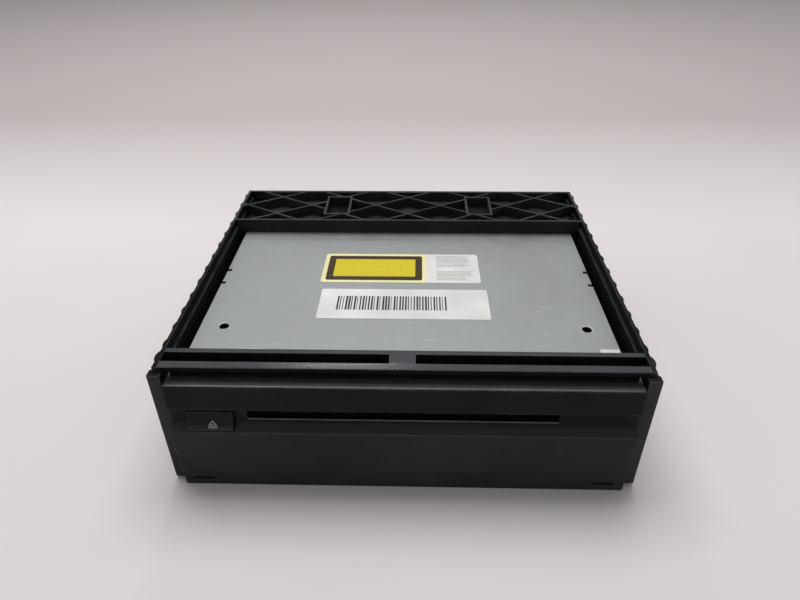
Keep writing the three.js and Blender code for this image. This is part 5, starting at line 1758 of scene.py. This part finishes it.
@dataclass
class Chassis(SubAssembly):
    """The sheet-metal cover and tray, their screws and the labels on the cover."""

    cover_edge: float = 0.00035
    tray_edge: float = 0.0003
    paper: float = 0.00012
    ink: float = 0.00003
    upper_x: Span = (-0.0413, 0.0361)
    upper_y: Span = (-0.0045, 0.0230)
    upper_split: float = 0.0100
    upper_trim: float = 0.0001
    upper_border: float = 0.0021
    upper_ring: float = 0.0034
    lower_x: Span = (-0.0394, 0.0382)
    lower_y: Span = (-0.0344, -0.0104)
    spot_x: Span = (0.0806, 0.0884)
    spot_y: Span = (-0.0570, -0.0545)
    corner: float = 0.0015
    ring_corner: float = 0.8
    lower_corner: float = 0.6
    tight_corner: float = 0.0003
    notes: PrintedRows = PrintedRows(
        "upper_label_notes", corner=(0.0150, 0.0208), bar=(0.0175, 0.00035), step=(0, -0.00125), count=9,
        least=(0.8, 1), most=(1, 1), seed=11, ink=GREY_INK,
    )
    footnotes: PrintedRows = PrintedRows(
        "upper_label_footnotes", corner=(0.0150, 0.0060), bar=(0.0185, 0.00035), step=(0, -0.00125),
        count=7, least=(0.75, 1), most=(1, 1), seed=12, ink=GREY_INK,
    )
    bars: PrintedRows = PrintedRows(
        "lower_label_bars", corner=(-0.0312, -0.0220), bar=(0.0007, 0.0112), step=(0.0013, 0), count=39,
        least=(0.4, 1), most=(1.35, 1), seed=21, ink=BLACK_INK,
    )

    def plate(
        self, name: str, x: Span, y: Span, level: float, thick: float, radius: float, finish: Finish,
    ) -> None:
        """Lay a thin plate with round corners on the cover.

        Args:
            name: The piece's name.
            x: Where it starts and ends along x.
            y: Where it starts and ends along y.
            level: The height of its underside above the cover.
            thick: Its thickness.
            radius: The radius of its corners.
            finish: Its finish.
        """
        base = node_box("top_cover")[1].z + level
        shape = bmesh.new()
        add_prism(shape, rounded_outline(x, y, radius), base, base + thick)
        self.put(name, from_bmesh(shape, smooth=False), "drive", finish)

    def rows(self, printed: PrintedRows) -> None:
        """Print rows of bars on a label.

        Args:
            printed: The rows.
        """
        finish = printed.ink
        level = node_box("top_cover")[1].z + self.paper + self.ink / 2
        mesh = grow(bar_rows(), finish, {
            "Start": (*printed.corner, level), "Step": (*printed.step, 0), "Count": printed.count,
            "Bar": (*printed.bar, self.ink), "Shortest": (*printed.least, 1), "Longest": (*printed.most, 1),
            "Seed": printed.seed,
        })
        piece = self.put(printed.name, mesh, "drive")

    def upper_label(self) -> None:
        """Lay the upper label: white paper, and at its left a yellow field in a dark ring."""
        self.plate("upper_label", self.upper_x, self.upper_y, 0, self.paper, self.corner, WHITE_PAPER)
        left, split = self.upper_x[0], self.upper_split
        tint = (left + self.upper_trim, split), shrunk(self.upper_y, self.upper_trim)
        ring = shrunk((left, split), self.upper_border), shrunk(self.upper_y, self.upper_border)
        field = shrunk(ring[0], self.upper_ring), shrunk(ring[1], self.upper_ring)
        layers = (
            ("upper_label_tint", tint, self.corner, CREAM_PAPER),
            ("upper_label_ring", ring, self.corner * self.ring_corner, BROWN_INK),
            ("upper_label_field", field, self.tight_corner, YELLOW_INK),
        )
        for number, (name, area, radius, finish) in enumerate(layers):
            self.plate(name, *area, self.paper + self.ink * number, self.ink, radius, finish)

    def build(self) -> None:
        """Round the sheets, dress the screws and lay the labels."""
        self.round_node("top_cover", "drive", COVER_ZINC, self.cover_edge)
        self.round_node("chassis_tray", "drive", TRAY_ZINC, self.tray_edge)
        for node in ("cover_screw_left", "cover_screw_right"):
            Cage().screw(node, Vector((0, 1, 0)))
        self.upper_label()
        self.rows(self.notes)
        self.rows(self.footnotes)
        lower_radius = self.corner * self.lower_corner
        self.plate("lower_label", self.lower_x, self.lower_y, 0, self.paper, lower_radius, WHITE_PAPER)
        self.rows(self.bars)
        self.plate("corner_label", self.spot_x, self.spot_y, 0, self.paper, self.tight_corner, WHITE_PAPER)


@dataclass
class Electronics(SubAssembly):
    """The main board with its chips and the socket at the back."""

    edge: float = 0.00015
    top_facing: float = 0.99
    chip_height: float = 0.002
    leg: tuple[float, float, float] = (0.00035, 0.0014, 0.0007)
    leg_pitch: float = 0.0008
    leg_margin: float = 0.0012
    bead: tuple[float, float, float] = (0.0016, 0.0008, 0.0007)
    bead_pitch: float = 0.0034
    socket_least: float = 0.0006
    socket_cavity: float = 0.012
    socket_wall: float = 0.0022
    pin_reach: float = 0.0056
    pin_side: float = 0.004

    def chips(self) -> list[tuple[Vector, Vector]]:
        """Find the chips' tops on the main board.

        Returns:
            The low and the high corner of each.
        """
        shape = merged_copy("main_board")
        level = node_box("main_board")[1].z
        corners = []
        for face in shape.faces:
            if face.normal.z > self.top_facing and face.calc_center_median().z > level - MERGE_GAP:
                places = [vert.co for vert in face.verts]
                corners.append(tuple(
                    Vector([pick(place[i] for place in places) for i in range(3)]) for pick in (min, max)
                ))
        shape.free()
        return corners

    def grid(
        self, name: str, middle: Vector, spread: Span, count: tuple[int, int], block: Sequence[float],
        finish: Finish,
    ) -> None:
        """Set a grid of equal blocks on the board.

        Args:
            name: The piece's name.
            middle: The middle of the grid, on the board.
            spread: How far the grid reaches along x and y.
            count: How many blocks along x and y.
            block: The size of a block.
            finish: The finish of the blocks.
        """
        mesh = grow(pin_grid(), finish, {
            "Centre": (middle.x, middle.y, middle.z + block[2] / 2), "Pin": tuple(block),
            "Spread X": spread[0], "Spread Y": spread[1], "Count X": count[0], "Count Y": count[1],
        })
        self.put(name, mesh, "drive")

    def small_parts(self) -> None:
        """Solder legs along both long sides of every chip, and a row of small parts beside it."""
        for number, (low, high) in enumerate(self.chips()):
            middle = (low + high) / 2
            middle.z -= self.chip_height
            width, depth = high.x - low.x, high.y - low.y
            run = width - self.leg_margin * 2
            legs = int(run / self.leg_pitch) + 1
            self.grid(f"chip_{number}_legs", middle, (run, depth), (legs, 2), self.leg, BRIGHT_STEEL)
            beside = middle - Vector((0, depth / 2 + self.bead_pitch, 0))
            beads = int(run / self.bead_pitch) + 1
            self.grid(f"chip_{number}_beads", beside, (run, 0), (beads, 1), self.bead, CERAMIC)

    def is_pin(self, centre: Vector, _normal: Vector) -> int:
        """Tell whether a face of the socket belongs to its pins.

        Args:
            centre: The face's centre.
            _normal: The face's normal, not used.

        Returns:
            1 for a pin, 0 for the rest.
        """
        low, high = node_box("rear_socket")
        floor = high.y - self.socket_cavity + self.edge
        return int(
            floor < centre.y < floor + self.pin_reach and abs(centre.x) < high.x - self.pin_side
            and low.z + self.socket_wall < centre.z < high.z - self.socket_wall
        )

    def build(self) -> None:
        """Dress the board, its chips and what is soldered beside them, and the socket with its pins."""
        board_top = node_box("main_board")[1].z - self.chip_height + self.edge
        self.round_node(
            "main_board", "drive", (SOLDER_MASK, CHIP_EPOXY), self.edge,
            choose=lambda centre, _normal: int(centre.z > board_top),
        )
        self.small_parts()
        self.round_node(
            "rear_socket", "drive", (DARK_PLASTIC, BRASS), self.edge, self.socket_least, self.is_pin,
        )


@dataclass
class Mechanism(SubAssembly):
    """The floating frame and all that it carries."""

    least_edge: float = 0.0005
    sheet_edge: float = 0.0002
    case_edge: float = 0.0003
    tooth_edge: float = 0.0001
    rod_edge: float = 0.0002
    roller_edge: float = 0.0004
    damper_edge: float = 0.0004
    damper_least: float = 0.0006
    thread_pitch: float = 0.003
    thread_ridge: float = 0.0003
    thread_margin: float = 0.001
    thread_steps: int = 24

    def lead_thread(self) -> None:
        """Wind the thread on the screw that drives the sled."""
        low, high = node_box("lead_screw")
        radius = (high.x - low.x) / 2
        length = high.y - low.y - self.thread_margin * 2
        mesh = grow(thread(), BRIGHT_STEEL, {
            "Radius": radius, "Length": length, "Turns": length / self.thread_pitch,
            "Ridge": self.thread_ridge, "Steps": self.thread_steps,
        })
        mesh.transform(Matrix.Rotation(-math.pi / 2, 4, "X"))
        start = Vector(((low.x + high.x) / 2, low.y + self.thread_margin, (low.z + high.z) / 2))
        mesh.transform(Matrix.Translation(start))
        piece = self.put("lead_screw_thread", mesh, "sled_screw")

    def round_all(self, pieces: Sequence[tuple[str, str, Finish, float]]) -> None:
        """Round pieces that have one finish each, given by node, body, finish and edge."""
        for node, body, finish, edge in pieces:
            self.round_node(node, body, finish, edge, least=self.least_edge)

    def build(self) -> None:
        """Round or dress every piece of the mechanism."""
        sheet, case, tooth, rod = self.sheet_edge, self.case_edge, self.tooth_edge, self.rod_edge
        self.round_all((
            ("mechanism_frame", "drive", FRAME_STEEL, sheet), ("disc_guide", "drive", DARK_PLASTIC, case),
            ("traverse_plate", "drive", FRAME_STEEL, sheet), ("spindle_motor", "drive", BRIGHT_STEEL, sheet),
            ("turntable", "spindle", DARK_PLASTIC, sheet), ("pickup_sled", "sled", DARK_PLASTIC, case),
            ("sled_motor", "drive", BRIGHT_STEEL, case), ("clamp_arm", "clamp", FRAME_STEEL, sheet),
            ("clamp_puck", "puck", ACETAL, case), ("roller_bracket", "loading_unit", FRAME_STEEL, sheet),
            ("loading_motor", "loading_unit", BRIGHT_STEEL, case), ("roller_gear", "roller", ACETAL, tooth),
            ("idler_gear", "idler", ACETAL, tooth), ("motor_pinion", "pinion", BRASS, tooth),
            ("cam_slide", "cam", BRIGHT_STEEL, sheet),
        ))
        for side in ("left", "right"):
            for number in (1, 2):
                node = f"damper_{side}_{number}"
                self.round_node(node, "drive", RUBBER, self.damper_edge, least=self.damper_least)
        self.round_all((
            ("guide_rod_left", "drive", BRIGHT_STEEL, rod), ("guide_rod_right", "drive", BRIGHT_STEEL, rod),
            ("pivot_pin_left", "drive", BRIGHT_STEEL, rod), ("pivot_pin_right", "drive", BRIGHT_STEEL, rod),
            ("clamp_shaft", "drive", BRIGHT_STEEL, rod), ("roller_shaft", "roller", BRIGHT_STEEL, rod),
            ("idler_pin", "loading_unit", BRIGHT_STEEL, rod),
        ))
        for node in ("lead_screw", "clamp_spring"):
            self.finish_node(node, BRIGHT_STEEL)
        self.round_node("feed_roller", "roller", RUBBER, self.roller_edge, least=self.least_edge)
        self.finish_node("objective_lens", LENS)
        self.lead_thread()


def main() -> None:
    """Build the studio and every sub-assembly in order."""
    logging.basicConfig(level=logging.INFO, format="%(relativeCreated)d %(message)s")
    for part in (Studio(), Cage(), Face(), Chassis(), Electronics(), Mechanism()):
        part.build()


if __name__ == "__main__":
    main()
